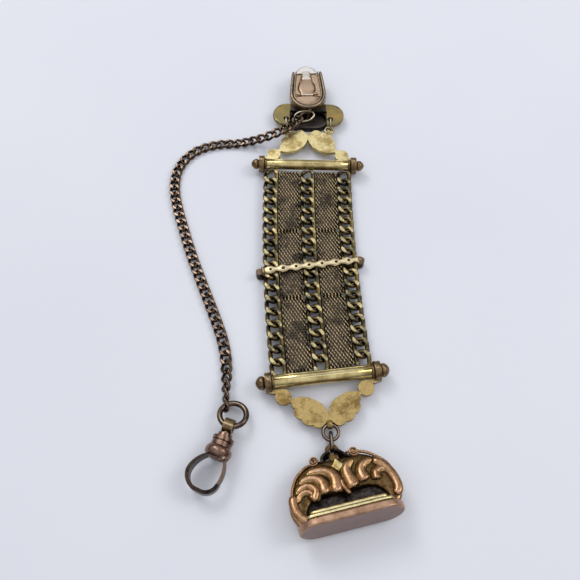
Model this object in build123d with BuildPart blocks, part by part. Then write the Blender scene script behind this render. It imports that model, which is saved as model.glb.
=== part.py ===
from build123d import *
from math import asin, cos, degrees, radians, sin, sqrt
import os

# Pocket watch fob: a strap of three curb chains and two mesh panels between two bars,
# a slider across it, a vest clip on a crest above, a seal below, and a safety chain
# with a swivel snap. It lies on its front, seen from the back. Lengths in millimetres,
# angles in degrees. +Y points to the clip, +X to the right, +Z up from the table.

os.makedirs("parts", exist_ok=True)

# Place of the top bar, from the middle of the footprint
top_bar_x = 9.13
top_bar_y = 28.58

# Running clearances
pin_clearance = 0.05
side_clearance = 0.08
seat_gap = 0.1
wire_gap = 0.12

# Strap
strap_length = 55.0
strap_width = 22.4
strap_lift = 1.5
strap_bend = 8.0
strap_start_angle = -1.5
strap_rows = 18
fold_rows = (6, 12)

# Edge and centre chain links
link_width = 3.6
link_length = 4.98
link_wire = 0.74
link_twist = 32.0
link_filed = 1.3
link_corner_share = 0.8

# Mesh panels
mesh_thickness = 1.1
mesh_edge_gap = 0.16
mesh_fold_gap = 0.3

# Bars at both ends of the strap
tube_diameter = 3.3
tube_length = 22.3
rod_diameter = 1.2
ear_diameter = 5.0
ear_thickness = 1.35
finial_diameter = 3.7
finial_length = 2.1
rod_grip = 1.0

# Hangers: two scalloped wings meeting on the centre line
hanger_thickness = 0.9
hanger_lift = 2.0
wing_half_width = 7.35
wing_reach_top = 12.0
wing_reach_bottom = 10.95
hanger_disc = 3.5
hanger_disc_inset = 2.2
hanger_disc_drop = 3.5
knuckle_diameter = 1.9
knuckle_hole = 0.98
knuckle_length = 1.0
top_knuckle_offset = 5.7

# Links and rings that carry the crest
crest_link_radius = 1.1
crest_link_wire = 0.55
crest_ring_radius = 1.7
crest_ring_wire = 0.55
crest_ring_offset = 6.0

# Crest
crest_width = 19.4
crest_height = 7.85
crest_thickness = 0.8
crest_lift = 1.55
crest_hole = 1.6
crest_hole_margin = 2.25
crest_window_width = 9.8
crest_rail = 2.7
shell_width = 10.8
shell_height = 6.6
shell_wall = 0.5

# Vest clip
jaw_width = 8.6
jaw_thickness = 0.65
jaw_overlap = 3.2
clip_length = 15.2
clip_turn = 3.0
clip_width = 10.2
clip_throat_width = 8.6
clip_wall = 0.75
clip_body_height = 1.7
clip_deck = 0.6
clip_rim = 0.5
clip_slot_gap = 0.3
clip_open_length = 2.8
thumb_radius = 3.3
thumb_crown = 0.45
lever_gap = 0.05
lever_waist = 4.3
lever_tip_width = 5.8
lever_tip_thickness = 0.7
clip_pin_diameter = 0.8
clip_pin_height = 0.7
lug_diameter = 1.3
lug_width = 1.0
spring_strip = 0.25
spring_strip_width = 1.3

# Rings between the crest and the safety chain
eye_lug_width = 0.8
eye_lug_hole = 1.0
eye_lug_height = 2.3
eye_lug_offset = 0.3
large_ring_radius = 1.38
small_ring_radius = 1.75
chain_ring_wire = 0.5
large_ring_drop = 22.0
large_ring_heading = 216.0
small_ring_heading = 229.0
small_ring_roll = 92.0
small_ring_rise = 42.0

# Safety chain, eight groups of six links
safety_sections = 8
safety_links = 6
safety_pitch = 2.215
safety_width = 2.5
safety_link_length = 3.64
safety_wire = 0.52
safety_twist = 36.0
safety_filed = 1.0
safety_headings = (233, 203, 179, 180, 200, 234, 266, 283, 288, 288, 291, 292, 292, 290, 279, 270, 277)
safety_lift = 0.55
safety_end_rise = 1.05
safety_start_roll = -11.0
safety_end_roll = 80.0
safety_roll_links = 6
safety_start_slack = 0.35
safety_start_pull = 20.0
safety_rise_start_share = 0.045
safety_rise_end_share = 0.19

# Swivel snap at the chain's end
swivel_ring_radius = 2.8
swivel_ring_wire = 1.05
swivel_ring_lean = 15.0
swivel_ring_reach_angle = 122.0
swivel_slack_along = 0.5
swivel_slack_across = 0.3
swivel_ring_heading = 255.0
snap_heading = 250.5
snap_lift = 2.85
head_diameter = 3.1
head_hole = 1.66
head_width = 2.1
stem_diameter = 1.5
stem_length = 4.6
stem_button = 2.5
stem_button_length = 0.7
barrel_start = 1.75
barrel_neck = 3.3
barrel_collar = 4.5
barrel_bulb = 5.6
barrel_length = 5.6
hook_length = 6.7
hook_band = 0.75
hook_band_width = 3.2
hook_tip_width = 1.5
hook_half_width = 3.45
hook_offset = 0.75
gate_thickness = 0.7
gate_width = 1.2
gate_pin_diameter = 0.6

# Ring, bail and seal below the strap
jump_ring_radius = 1.62
jump_ring_wire = 0.53
bail_half_length = 1.9
bail_half_height = 1.0
bail_wire = 0.6
bail_heading = -88.0
seal_heading = -76.7
seal_pitch = 13.0
seal_width = 21.2
seal_height = 15.1
seal_thickness = 8.8
seal_eye_radius = 1.1
seal_eye_wire = 0.76
scroll_thickness = 3.0
lobe_thicknesses = (5.2, 4.8, 4.4)
seal_base_thickness = 1.5
seal_base_depth = 7.6
seal_base_share = 0.985
seal_round_share = 0.25
seal_step_thickness = 0.9
seal_step_width = 15.2
seal_step_depth = 4.8

# Slider across the strap
slider_row_share = 0.52
slider_skew = 5.0
slider_band = 2.3
slider_plate = 0.5
slider_front_thickness = 0.6
slider_post = 1.7
slider_hole = 1.1
slider_hole_share = 0.535
slider_bumps = 6
slider_bump = 1.5

overrun = 1.0


def flat_direction(heading, rise=0.0):
    """Unit vector at a heading in the table's plane, lifted by an angle."""
    return Vector(
        cos(radians(heading)) * cos(radians(rise)),
        sin(radians(heading)) * cos(radians(rise)),
        sin(radians(rise)),
    )


def frame_at(origin, x_direction, y_direction):
    """Plane with its x and y axes along two square directions."""
    return Plane(origin=origin, x_dir=x_direction, z_dir=x_direction.cross(y_direction))


def across_frame(origin, plane):
    """Plane square to the x axis of another one, for pins and knuckles."""
    return Plane(origin=origin, x_dir=plane.y_dir, z_dir=plane.x_dir)


# Route of the strap: an arc from the top bar to the bottom bar
axis_height = ear_diameter / 2
strap_run = strap_length + tube_diameter
strap_radius = strap_run / radians(strap_bend)


def row_angle(distance):
    return strap_start_angle + strap_bend * distance / strap_run


def strap_point(distance, height):
    """Point of the centre line, a distance below the top bar."""
    start = radians(strap_start_angle)
    angle = radians(row_angle(distance))
    return Vector(
        top_bar_x + strap_radius * (cos(start) - cos(angle)),
        top_bar_y - strap_radius * (sin(angle) - sin(start)),
        height,
    )


def strap_frame(distance, offset, height):
    """Plane with x down the strap, y to the right and z up, offset across the strap."""
    row = flat_direction(row_angle(distance))
    down = flat_direction(row_angle(distance) - 90)
    return frame_at(strap_point(distance, height) + row * offset, down, row)


row_pitch = strap_length / strap_rows
chain_offset = (strap_width - link_width) / 2
mesh_width = (strap_width - 3 * link_width) / 2 - 2 * mesh_edge_gap
mesh_offset = chain_offset / 2
fold_distances = [tube_diameter / 2 + rows * row_pitch for rows in fold_rows]
section_rows = ((0, fold_rows[0]), fold_rows, (fold_rows[1], strap_rows))
section_names = ("upper", "middle", "lower")

top_frame = frame_at(
    strap_point(0, axis_height),
    flat_direction(row_angle(0)),
    flat_direction(row_angle(0) + 90),
)
bottom_frame = frame_at(
    strap_point(strap_run, axis_height),
    flat_direction(row_angle(strap_run) + 180),
    flat_direction(row_angle(strap_run) - 90),
)


def curb_link(length, width, wire, twist, filed):
    """One twisted link, its two ends turned opposite ways about x, filed flat above and below."""
    half_side = (width - wire) / 2 / cos(radians(twist))
    reach = (length - wire) / 2
    out = half_side * cos(radians(twist))
    up = -half_side * sin(radians(twist))
    corner = half_side * link_corner_share
    with BuildPart() as half_link:
        with BuildLine() as half_path:
            FilletPolyline((0, out, 0), (reach, out, up), (reach, -out, -up), (0, -out, 0), radius=corner)
        with BuildSketch(Plane(origin=half_path.line @ 0, z_dir=half_path.line % 0)):
            Circle(wire / 2)
        sweep(path=half_path.line)
    with BuildPart() as link:
        add(half_link.part)
        add(half_link.part.rotate(Axis.Z, 180))
        Box(length + overrun, width + overrun, filed, mode=Mode.INTERSECT)
    return link.part


# Bars: a tube soldered to the strap's end, a rod through it, and a ball on each end of the rod
ear_offset = tube_length / 2 + side_clearance
rod_length = 2 * (ear_offset + ear_thickness + rod_grip)


def bar_tube(frame):
    with BuildPart(across_frame(frame.origin, frame)) as tube:
        Cylinder(tube_diameter / 2, tube_length)
        Cylinder(rod_diameter / 2 + pin_clearance, tube_length, mode=Mode.SUBTRACT)
    return tube.part


def bar_rod(frame):
    with BuildPart(across_frame(frame.origin, frame)) as rod:
        Cylinder(rod_diameter / 2, rod_length)
    return rod.part


def bar_finials(frame):
    seat = ear_offset + ear_thickness
    with BuildPart(across_frame(frame.origin, frame)) as finials:
        for side in (1, -1):
            with Locations((0, 0, side * (seat + finial_length - finial_diameter / 2))):
                Sphere(finial_diameter / 2)
        Cylinder(finial_diameter, 2 * seat, mode=Mode.SUBTRACT)
        Cylinder(rod_diameter / 2, rod_length, mode=Mode.SUBTRACT)
    return finials.part


top_tube = bar_tube(top_frame)
bottom_tube = bar_tube(bottom_frame)

with BuildPart() as top_bar_tube:
    add(top_tube)
top_bar_tube.part.label = "top_bar_tube"
export_step(top_bar_tube.part, "parts/top_bar_tube.step")

with BuildPart() as bottom_bar_tube:
    add(bottom_tube)
bottom_bar_tube.part.label = "bottom_bar_tube"
export_step(bottom_bar_tube.part, "parts/bottom_bar_tube.step")

for bar_name, bar_frame in (("top", top_frame), ("bottom", bottom_frame)):
    rod = bar_rod(bar_frame)
    rod.label = f"{bar_name}_bar_rod"
    export_step(rod, f"parts/{bar_name}_bar_rod.step")
    finials = bar_finials(bar_frame)
    finials.label = f"{bar_name}_bar_finials"
    export_step(finials, f"parts/{bar_name}_bar_finials.step")

# Strap chains, in three sections that fold between their rows
strap_link = curb_link(link_length, link_width, link_wire, link_twist, link_filed)
tube_envelopes = []
for bar_frame in (top_frame, bottom_frame):
    with BuildPart(across_frame(bar_frame.origin, bar_frame)) as envelope:
        Cylinder(tube_diameter / 2, tube_length + overrun)
    tube_envelopes.append(envelope.part)

chain_sides = (("left", -1), ("centre", 0), ("right", 1))
for section_name, (first_row, last_row) in zip(section_names, section_rows):
    for side_name, side in chain_sides:
        places = []
        for row in range(first_row, last_row):
            distance = tube_diameter / 2 + (row + 0.5) * row_pitch
            places.append(strap_frame(distance, side * chain_offset, strap_lift).location)
        with BuildPart() as chain:
            with Locations(*places):
                add(strap_link)
            if first_row == 0:
                add(tube_envelopes[0], mode=Mode.SUBTRACT)
            if last_row == strap_rows:
                add(tube_envelopes[1], mode=Mode.SUBTRACT)
        chain.part.label = f"chain_{section_name}_{side_name}"
        export_step(chain.part, f"parts/chain_{section_name}_{side_name}.step")

# Mesh panels: flat bands with round ends where they fold
for section_name, (first_row, last_row) in zip(section_names, section_rows):
    start = tube_diameter / 2 + first_row * row_pitch + mesh_fold_gap / 2
    end = tube_diameter / 2 + last_row * row_pitch - mesh_fold_gap / 2
    if first_row == 0:
        start = tube_diameter / 4
    if last_row == strap_rows:
        end = strap_run - tube_diameter / 4
    for side_name, side in (("left", -1), ("right", 1)):
        middle = strap_frame((start + end) / 2, side * mesh_offset, strap_lift)
        with BuildPart() as mesh:
            with BuildSketch(Plane(origin=middle.origin, x_dir=middle.x_dir, z_dir=-middle.y_dir)):
                SlotOverall(end - start, mesh_thickness)
            extrude(amount=mesh_width / 2, both=True)
            if first_row == 0:
                add(tube_envelopes[0], mode=Mode.SUBTRACT)
            if last_row == strap_rows:
                add(tube_envelopes[1], mode=Mode.SUBTRACT)
        mesh.part.label = f"mesh_{section_name}_{side_name}"
        export_step(mesh.part, f"parts/mesh_{section_name}_{side_name}.step")

# Hangers. Shares of a wing's half width and reach give its outline, from the neck round
disc_centre = (tube_length / 2 - hanger_disc_inset, hanger_disc_drop)
inner_edge_shares = ((0.95, 0.38), (0.67, 0.36), (0.34, 0.44), (0.12, 0.56), (0.03, 0.68), (0.0, 0.755))
scallop_shares = (
    ((0.0, 0.845), (0.06, 0.90), (0.14, 0.945)),
    ((0.14, 0.945), (0.29, 1.0), (0.47, 0.935)),
    ((0.47, 0.935), (0.66, 0.915), (0.78, 0.80)),
    ((0.78, 0.80), (0.955, 0.70), (0.935, 0.57)),
    ((0.935, 0.57), (1.0, 0.53), (1.0, 0.47)),
)
top_knuckle_share = 0.945
bottom_knuckle_share = 0.845
plate_drop = hanger_lift - axis_height


def hanger_part(frame, reach, knuckles):
    """Winged plate with discs, ears round the rod, and cross-bored knuckles at the given places."""
    plate = frame.offset(plate_drop)

    def wing_point(shares):
        return (shares[0] * wing_half_width, shares[1] * reach)

    with BuildPart() as hanger:
        with BuildSketch(plate):
            with BuildLine():
                Spline(*[wing_point(shares) for shares in inner_edge_shares])
                Line(wing_point(inner_edge_shares[-1]), wing_point(scallop_shares[0][0]))
                for scallop in scallop_shares:
                    ThreePointArc(*[wing_point(shares) for shares in scallop])
                neck = wing_point(scallop_shares[-1][-1])
                Polyline(neck, disc_centre, wing_point(inner_edge_shares[0]))
            make_face()
            with Locations(disc_centre):
                Circle(hanger_disc / 2)
            mirror(about=Plane.YZ)
        extrude(amount=hanger_thickness / 2, both=True)
        # Tabs from the discs to the ears
        tab_start = tube_length / 2 + side_clearance
        tab_inner = disc_centre[0]
        tab_low = tube_diameter / 2 + seat_gap
        tab_high = ear_diameter / 2 + seat_gap
        with BuildSketch(plate):
            for side in (1, -1):
                tab_middle = (tab_inner + tab_start + ear_thickness) / 2
                with Locations((side * tab_middle, (tab_low + tab_high) / 2)):
                    Rectangle(tab_start + ear_thickness - tab_inner, tab_high - tab_low)
        extrude(amount=hanger_thickness / 2, both=True)
        for side in (1, -1):
            ear_centre = frame.from_local_coords(Vector(side * (ear_offset + ear_thickness / 2), 0, 0))
            with BuildSketch(across_frame(ear_centre, frame)):
                Circle(ear_diameter / 2)
                Circle(rod_diameter / 2, mode=Mode.SUBTRACT)
            extrude(amount=ear_thickness / 2, both=True)
        for offset, distance, bridge in knuckles:
            centre = plate.from_local_coords(Vector(offset, distance, 0))
            with BuildSketch(plate):
                with Locations((offset, distance - bridge / 2)):
                    Rectangle(knuckle_length, bridge)
            extrude(amount=hanger_thickness / 2, both=True)
            with BuildSketch(across_frame(centre, frame)):
                Circle(knuckle_diameter / 2)
            extrude(amount=knuckle_length / 2, both=True)
            with BuildSketch(across_frame(centre, frame)):
                Circle(knuckle_hole / 2)
            extrude(amount=knuckle_length, both=True, mode=Mode.SUBTRACT)
    return hanger.part


top_knuckle_reach = wing_reach_top * top_knuckle_share
bottom_knuckle_reach = wing_reach_bottom * bottom_knuckle_share + knuckle_diameter / 2 + 3 * seat_gap
top_hanger = hanger_part(
    top_frame,
    wing_reach_top,
    (
        (top_knuckle_offset, top_knuckle_reach, knuckle_diameter),
        (-top_knuckle_offset, top_knuckle_reach, knuckle_diameter),
    ),
)
top_hanger.label = "top_hanger"
export_step(top_hanger, "parts/top_hanger.step")

bottom_hanger = hanger_part(bottom_frame, wing_reach_bottom, ((0, bottom_knuckle_reach, knuckle_diameter),))
bottom_hanger.label = "bottom_hanger"
export_step(bottom_hanger, "parts/bottom_hanger.step")


def ring_part(frame, radius, wire):
    """Round wire ring in a plane."""
    with BuildPart(frame) as ring:
        Torus(radius, wire / 2)
    return ring.part


# Crest links lie flat in the hanger's knuckles, and crest rings stand through them
hanger_plate = top_frame.offset(plate_drop)
crest_link_reach = top_knuckle_reach + crest_link_radius
ring_offset_in_link = crest_ring_offset - top_knuckle_offset
crest_inner_radius = crest_link_radius - (crest_link_wire + crest_ring_wire) / 2 - wire_gap
crest_ring_low = crest_link_reach + sqrt(crest_inner_radius**2 - ring_offset_in_link**2)
crest_ring_reach = crest_ring_low + crest_ring_radius
crest_hole_reach = crest_ring_reach + crest_ring_radius

with BuildPart() as crest_links:
    for side in (-1, 1):
        centre = hanger_plate.from_local_coords(Vector(side * top_knuckle_offset, crest_link_reach, 0))
        link_frame = frame_at(centre, top_frame.x_dir, top_frame.y_dir)
        add(ring_part(link_frame, crest_link_radius, crest_link_wire))
crest_links.part.label = "crest_links"
export_step(crest_links.part, "parts/crest_links.step")

crest_ring_height = crest_ring_radius + crest_ring_wire / 2
with BuildPart() as crest_rings:
    for side in (-1, 1):
        centre = top_frame.from_local_coords(
            Vector(side * crest_ring_offset, crest_ring_reach, crest_ring_height - axis_height)
        )
        add(ring_part(across_frame(centre, top_frame), crest_ring_radius, crest_ring_wire))
crest_rings.part.label = "crest_rings"
export_step(crest_rings.part, "parts/crest_rings.step")

# Crest: a back plate with two ears, over a hollow stamped front
crest_low = crest_hole_reach - crest_hole_margin
crest_middle = crest_low + crest_height / 2
crest_high = crest_low + crest_height
window_high = crest_high - crest_rail
crest_plane = top_frame.offset(crest_lift - axis_height)

crest_edge_share = 0.35

with BuildPart() as crest_back_plate:
    with BuildSketch(crest_plane):
        with Locations((0, crest_middle)):
            SlotOverall(crest_width, crest_height)
        with Locations((0, (window_high + crest_low - overrun) / 2)):
            Rectangle(crest_window_width, window_high - crest_low + overrun, mode=Mode.SUBTRACT)
        for side in (-1, 1):
            with Locations((side * crest_ring_offset, crest_hole_reach)):
                Circle(crest_hole / 2, mode=Mode.SUBTRACT)
    extrude(amount=crest_thickness)
    crest_top = crest_back_plate.faces().filter_by(GeomType.PLANE).sort_by(Axis.Z)[-1]
    fillet(crest_top.outer_wire().edges(), crest_thickness * crest_edge_share)
crest_back_plate.part.label = "crest_back_plate"
export_step(crest_back_plate.part, "parts/crest_back_plate.step")

shell_middle = crest_low + shell_height / 2 - shell_wall / 2
with BuildPart() as crest_front:
    with BuildSketch(top_frame.offset(-axis_height)):
        with Locations((0, shell_middle)):
            SlotOverall(shell_width, shell_height)
    extrude(amount=crest_lift)
    with BuildSketch(top_frame.offset(shell_wall - axis_height)):
        with Locations((0, shell_middle)):
            SlotOverall(shell_width - 2 * shell_wall, shell_height - 2 * shell_wall)
    extrude(amount=crest_lift, mode=Mode.SUBTRACT)
crest_front.part.label = "crest_front"
export_step(crest_front.part, "parts/crest_front.step")

# Vest clip, in the crest's own direction
jaw_start = crest_high - jaw_overlap
jaw_end = jaw_start + clip_length
jaw_lift = crest_lift + crest_thickness
clip_lift = jaw_lift + jaw_thickness
# The clip is turned a little on the crest, about the foot of its jaw
clip_across = flat_direction(row_angle(0) + clip_turn)
clip_along = flat_direction(row_angle(0) + clip_turn + 90)
clip_foot = top_frame.from_local_coords(Vector(0, jaw_start, -axis_height))
clip_frame = frame_at(clip_foot - clip_along * jaw_start, clip_across, clip_along)
jaw_plane = clip_frame.offset(jaw_lift)
clip_plane = clip_frame.offset(clip_lift)
clip_low = jaw_start + seat_gap
bowl_middle = clip_low + clip_width / 2
clip_high = jaw_end - clip_open_length
pin_reach = bowl_middle - clip_wall / 2
pin_point = clip_plane.from_local_coords(Vector(0, pin_reach, clip_pin_height))

with BuildPart() as clip_front_jaw:
    with BuildSketch(jaw_plane):
        with Locations((0, (bowl_middle + jaw_end - jaw_width / 2) / 2)):
            Rectangle(jaw_width, jaw_end - jaw_width / 2 - bowl_middle)
        with Locations((0, jaw_end - jaw_width / 2)):
            Circle(jaw_width / 2)
        with Locations((0, bowl_middle)):
            Circle(clip_width / 2)
    extrude(amount=jaw_thickness)
clip_front_jaw.part.label = "clip_front_jaw"
export_step(clip_front_jaw.part, "parts/clip_front_jaw.step")


def clip_outline(inset):
    """Round bowl below, straight sides drawn in towards the throat."""
    half_bowl = clip_width / 2 - inset
    half_throat = clip_throat_width / 2 - inset
    with BuildLine() as outline:
        ThreePointArc((-half_bowl, bowl_middle), (0, bowl_middle - half_bowl), (half_bowl, bowl_middle))
        right = Line((half_bowl, bowl_middle), (half_throat, clip_high))
        left = Line((-half_throat, clip_high), (-half_bowl, bowl_middle))
        Line(right @ 1, left @ 0)
    return outline.line


# Shares of the lever's length above the pin, and its half widths
vase_length = clip_high - pin_reach
vase_shares = (
    (0.02, 0.74),
    (0.12, 0.80),
    (0.27, 1.0),
    (0.42, 0.97),
    (0.62, 0.72),
    (0.82, 0.60),
    (1.04, 0.58),
)


def vase_outline(spread):
    half_waist = lever_waist / 2
    half_widths = [(along * vase_length, across * half_waist + spread) for along, across in vase_shares]
    with BuildLine() as outline:
        right = Spline(*[(half, pin_reach + along) for along, half in half_widths])
        left = Spline(*[(-half, pin_reach + along) for along, half in half_widths])
        Line(right @ 1, left @ 1)
        Line(right @ 0, left @ 0)
    return outline.line


deck_top = clip_body_height
thumb_centre_share = 0.14
thumb_line_share = 0.4
thumb_reach = pin_reach - thumb_radius * thumb_centre_share
thumb_line = thumb_reach - thumb_radius * thumb_line_share
root_width = lever_waist * vase_shares[0][1]
root_middle = (thumb_line + pin_reach + side_clearance) / 2
root_length = pin_reach - thumb_line + 2 * side_clearance


def thumb_outline(spread):
    """Half-moon pad under the bowl's rim, joined to the vase by a straight root."""
    with BuildSketch() as outline:
        with Locations((0, thumb_reach)):
            Circle(thumb_radius + spread)
        with Locations((0, thumb_line + spread + thumb_radius + overrun)):
            Rectangle(4 * thumb_radius, 2 * (thumb_radius + overrun), mode=Mode.SUBTRACT)
        with Locations((0, root_middle)):
            Rectangle(root_width + 2 * spread, root_length + 2 * spread)
    return outline.sketch


with BuildPart() as clip_housing:
    with BuildSketch(clip_plane):
        add(clip_outline(0))
        make_face()
    extrude(amount=clip_body_height + clip_rim)
    with BuildSketch(clip_plane.offset(clip_body_height)):
        add(clip_outline(clip_wall))
        make_face()
    extrude(amount=clip_rim, mode=Mode.SUBTRACT)
    with BuildSketch(clip_plane):
        add(clip_outline(clip_wall))
        make_face()
        with Locations((0, clip_high)):
            Rectangle(clip_throat_width - 2 * clip_wall, overrun * 2)
    extrude(amount=clip_body_height - clip_deck, mode=Mode.SUBTRACT)
    with BuildSketch(clip_plane):
        add(vase_outline(clip_slot_gap))
        make_face()
        with Locations((0, clip_high)):
            Rectangle(lever_tip_width + clip_slot_gap, overrun)
        add(thumb_outline(clip_slot_gap))
    extrude(amount=clip_body_height + clip_rim, mode=Mode.SUBTRACT)
    with BuildSketch(across_frame(pin_point, clip_frame)):
        Circle(clip_pin_diameter / 2)
    extrude(amount=clip_width, both=True, mode=Mode.SUBTRACT)
clip_housing.part.label = "clip_housing"
export_step(clip_housing.part, "parts/clip_housing.step")

pin_half = (clip_width - clip_wall) / 2
with BuildPart(across_frame(pin_point, clip_frame)) as clip_hinge_pin:
    Cylinder(clip_pin_diameter / 2, 2 * pin_half)
clip_hinge_pin.part.label = "clip_hinge_pin"
export_step(clip_hinge_pin.part, "parts/clip_hinge_pin.step")

tip_reach = clip_high + seat_gap
lever_bottom = clip_body_height - clip_deck
crown_radius = (thumb_radius**2 + thumb_crown**2) / (2 * thumb_crown)
crown_plane = clip_plane.offset(lever_bottom + clip_deck)
with BuildPart() as thumb_pad:
    with BuildSketch(crown_plane):
        with Locations((0, thumb_reach)):
            Circle(thumb_radius)
        with Locations((0, thumb_line + thumb_radius + overrun)):
            Rectangle(4 * thumb_radius, 2 * (thumb_radius + overrun), mode=Mode.SUBTRACT)
    extrude(amount=thumb_crown)
    with Locations(crown_plane.from_local_coords(Vector(0, thumb_reach, thumb_crown - crown_radius))):
        Sphere(crown_radius, mode=Mode.INTERSECT)

with BuildPart() as clip_lever:
    with BuildSketch(clip_plane.offset(lever_bottom)):
        add(vase_outline(0))
        make_face()
        add(thumb_outline(0))
    extrude(amount=clip_deck)
    add(thumb_pad.part)
    # Step down to the tip that meets the front jaw
    with BuildSketch(clip_plane.offset(lever_gap)):
        with Locations((0, tip_reach)):
            Rectangle(lever_waist * vase_shares[-1][1], seat_gap * 2 + lever_tip_thickness)
    extrude(amount=clip_body_height - lever_gap)
    with BuildSketch(clip_plane.offset(lever_gap)):
        with Locations((0, tip_reach)):
            Circle(lever_tip_width / 2)
        with Locations((0, tip_reach - lever_tip_width / 2)):
            Rectangle(lever_tip_width, lever_tip_width, mode=Mode.SUBTRACT)
    extrude(amount=lever_tip_thickness)
    # Two lugs round the pin
    for side in (-1, 1):
        lug_centre = pin_point + clip_frame.x_dir * (side * (spring_strip_width + lug_width + seat_gap) / 2)
        with BuildSketch(across_frame(lug_centre, clip_frame)):
            Circle(lug_diameter / 2)
            with Locations((0, clip_pin_height / 2)):
                Rectangle(lug_diameter, clip_pin_height)
        extrude(amount=lug_width / 2, both=True)
    with BuildSketch(across_frame(pin_point, clip_frame)):
        Circle(clip_pin_diameter / 2 + pin_clearance)
    extrude(amount=clip_width, both=True, mode=Mode.SUBTRACT)
clip_lever.part.label = "clip_lever"
export_step(clip_lever.part, "parts/clip_lever.step")

# Leaf spring on the jaw, under the thumb pad
spring_high = pin_reach - clip_pin_diameter
spring_low = spring_high - thumb_radius * 0.4
with BuildPart() as clip_spring:
    with BuildSketch(clip_plane):
        with Locations((0, (spring_low + spring_high) / 2)):
            Rectangle(spring_strip_width, spring_high - spring_low)
    extrude(amount=spring_strip)
clip_spring.part.label = "clip_spring"
export_step(clip_spring.part, "parts/clip_spring.step")

# Upright eye for the safety chain's rings, standing on the hollow's floor
eye_wall_share = 0.27
eye_radius = eye_lug_hole * (0.5 + eye_wall_share)
eye_reach = jaw_start - eye_radius
eye_height = crest_thickness + eye_lug_height / 2
eye_stem = crest_lift + eye_height - shell_wall
eye_centre = crest_plane.from_local_coords(Vector(eye_lug_offset, eye_reach, eye_height))
with BuildPart() as chain_eye:
    with BuildSketch(across_frame(eye_centre, top_frame)):
        Circle(eye_radius)
        with Locations((0, -eye_stem / 2)):
            Rectangle(2 * eye_radius, eye_stem)
        Circle(eye_lug_hole / 2, mode=Mode.SUBTRACT)
    extrude(amount=eye_lug_width / 2, both=True)
chain_eye.part.label = "chain_eye"
export_step(chain_eye.part, "parts/chain_eye.step")

# Large ring through the eye, small ring through the large one
crest_angle = row_angle(0)
large_down = flat_direction(crest_angle - 90, -large_ring_drop)
large_frame = frame_at(eye_centre + large_down * large_ring_radius, top_frame.x_dir, -large_down)
large_heading = flat_direction(large_ring_heading)
heading_in_ring = (large_heading - large_frame.z_dir * large_heading.dot(large_frame.z_dir)).normalized()
large_wire_point = large_frame.origin + heading_in_ring * large_ring_radius


def rolled_frame(origin, heading, rise, roll):
    """Plane holding a heading, rolled about it from flat."""
    along = flat_direction(heading, rise)
    side = flat_direction(heading + 90)
    over = along.cross(side)
    return frame_at(origin, along, side * cos(radians(roll)) + over * sin(radians(roll)))


small_along = flat_direction(large_ring_heading, small_ring_rise)
small_centre = large_wire_point + small_along * (small_ring_radius - chain_ring_wire - wire_gap)
small_frame = rolled_frame(small_centre, large_ring_heading, small_ring_rise, small_ring_roll)

with BuildPart() as chain_ring_large:
    add(ring_part(large_frame, large_ring_radius, chain_ring_wire))
chain_ring_large.part.label = "chain_ring_large"
export_step(chain_ring_large.part, "parts/chain_ring_large.step")

with BuildPart() as chain_ring_small:
    add(ring_part(small_frame, small_ring_radius, chain_ring_wire))
chain_ring_small.part.label = "chain_ring_small"
export_step(chain_ring_small.part, "parts/chain_ring_small.step")

# Safety chain: headings at every half group, and a smooth fall to the table at its start
safety_count = safety_sections * safety_links
half_group = safety_links / 2
small_heading = flat_direction(small_ring_heading, safety_start_pull)
small_in_ring = (small_heading - small_frame.z_dir * small_heading.dot(small_frame.z_dir)).normalized()
small_wire_point = small_frame.origin + small_in_ring * small_ring_radius
chain_start = small_wire_point + flat_direction(small_ring_heading) * safety_start_slack
safety_rise = chain_start.Z - safety_lift


def safety_heading(index):
    place = min(max(index / half_group, 0), len(safety_headings) - 1)
    low = min(int(place), len(safety_headings) - 2)
    return safety_headings[low] + (safety_headings[low + 1] - safety_headings[low]) * (place - low)


def smooth_share(share):
    share = min(max(share, 0), 1)
    return share * share * (3 - 2 * share)


def end_share(index):
    """Nought along the chain, rising to one at its last link."""
    return smooth_share((index - safety_count + 1) / safety_roll_links + 1)


def safety_height(index):
    rise_span = safety_rise_end_share - safety_rise_start_share
    share = (index / safety_count - safety_rise_start_share) / rise_span
    return safety_lift + safety_rise * (1 - smooth_share(share)) + safety_end_rise * end_share(index)


def safety_roll(index):
    start_roll = safety_start_roll * smooth_share(1 - index / safety_roll_links)
    return start_roll + safety_end_roll * end_share(index)


safety_link = curb_link(safety_link_length, safety_width, safety_wire, safety_twist, safety_filed)
safety_frames = []
point = chain_start
for index in range(safety_count):
    fall = safety_height(index + 0.5) - safety_height(index - 0.5)
    slope = degrees(asin(fall / safety_pitch))
    along = flat_direction(safety_heading(index), slope)
    side = flat_direction(safety_heading(index) + 90)
    roll = radians(safety_roll(index))
    safety_frames.append(frame_at(point, along, side * cos(roll) + along.cross(side) * sin(roll)))
    next_fall = safety_height(index + 1) - safety_height(index)
    run = sqrt(safety_pitch**2 - next_fall**2)
    point = point + flat_direction(safety_heading(index + 0.5)) * run + Vector(0, 0, next_fall)

for section in range(safety_sections):
    first_link = section * safety_links
    places = [frame.location for frame in safety_frames[first_link : first_link + safety_links]]
    with BuildPart() as safety_chain:
        with Locations(*places):
            add(safety_link)
    safety_chain.part.label = f"safety_chain_{section + 1}"
    export_step(safety_chain.part, f"parts/safety_chain_{section + 1}.step")

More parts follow.
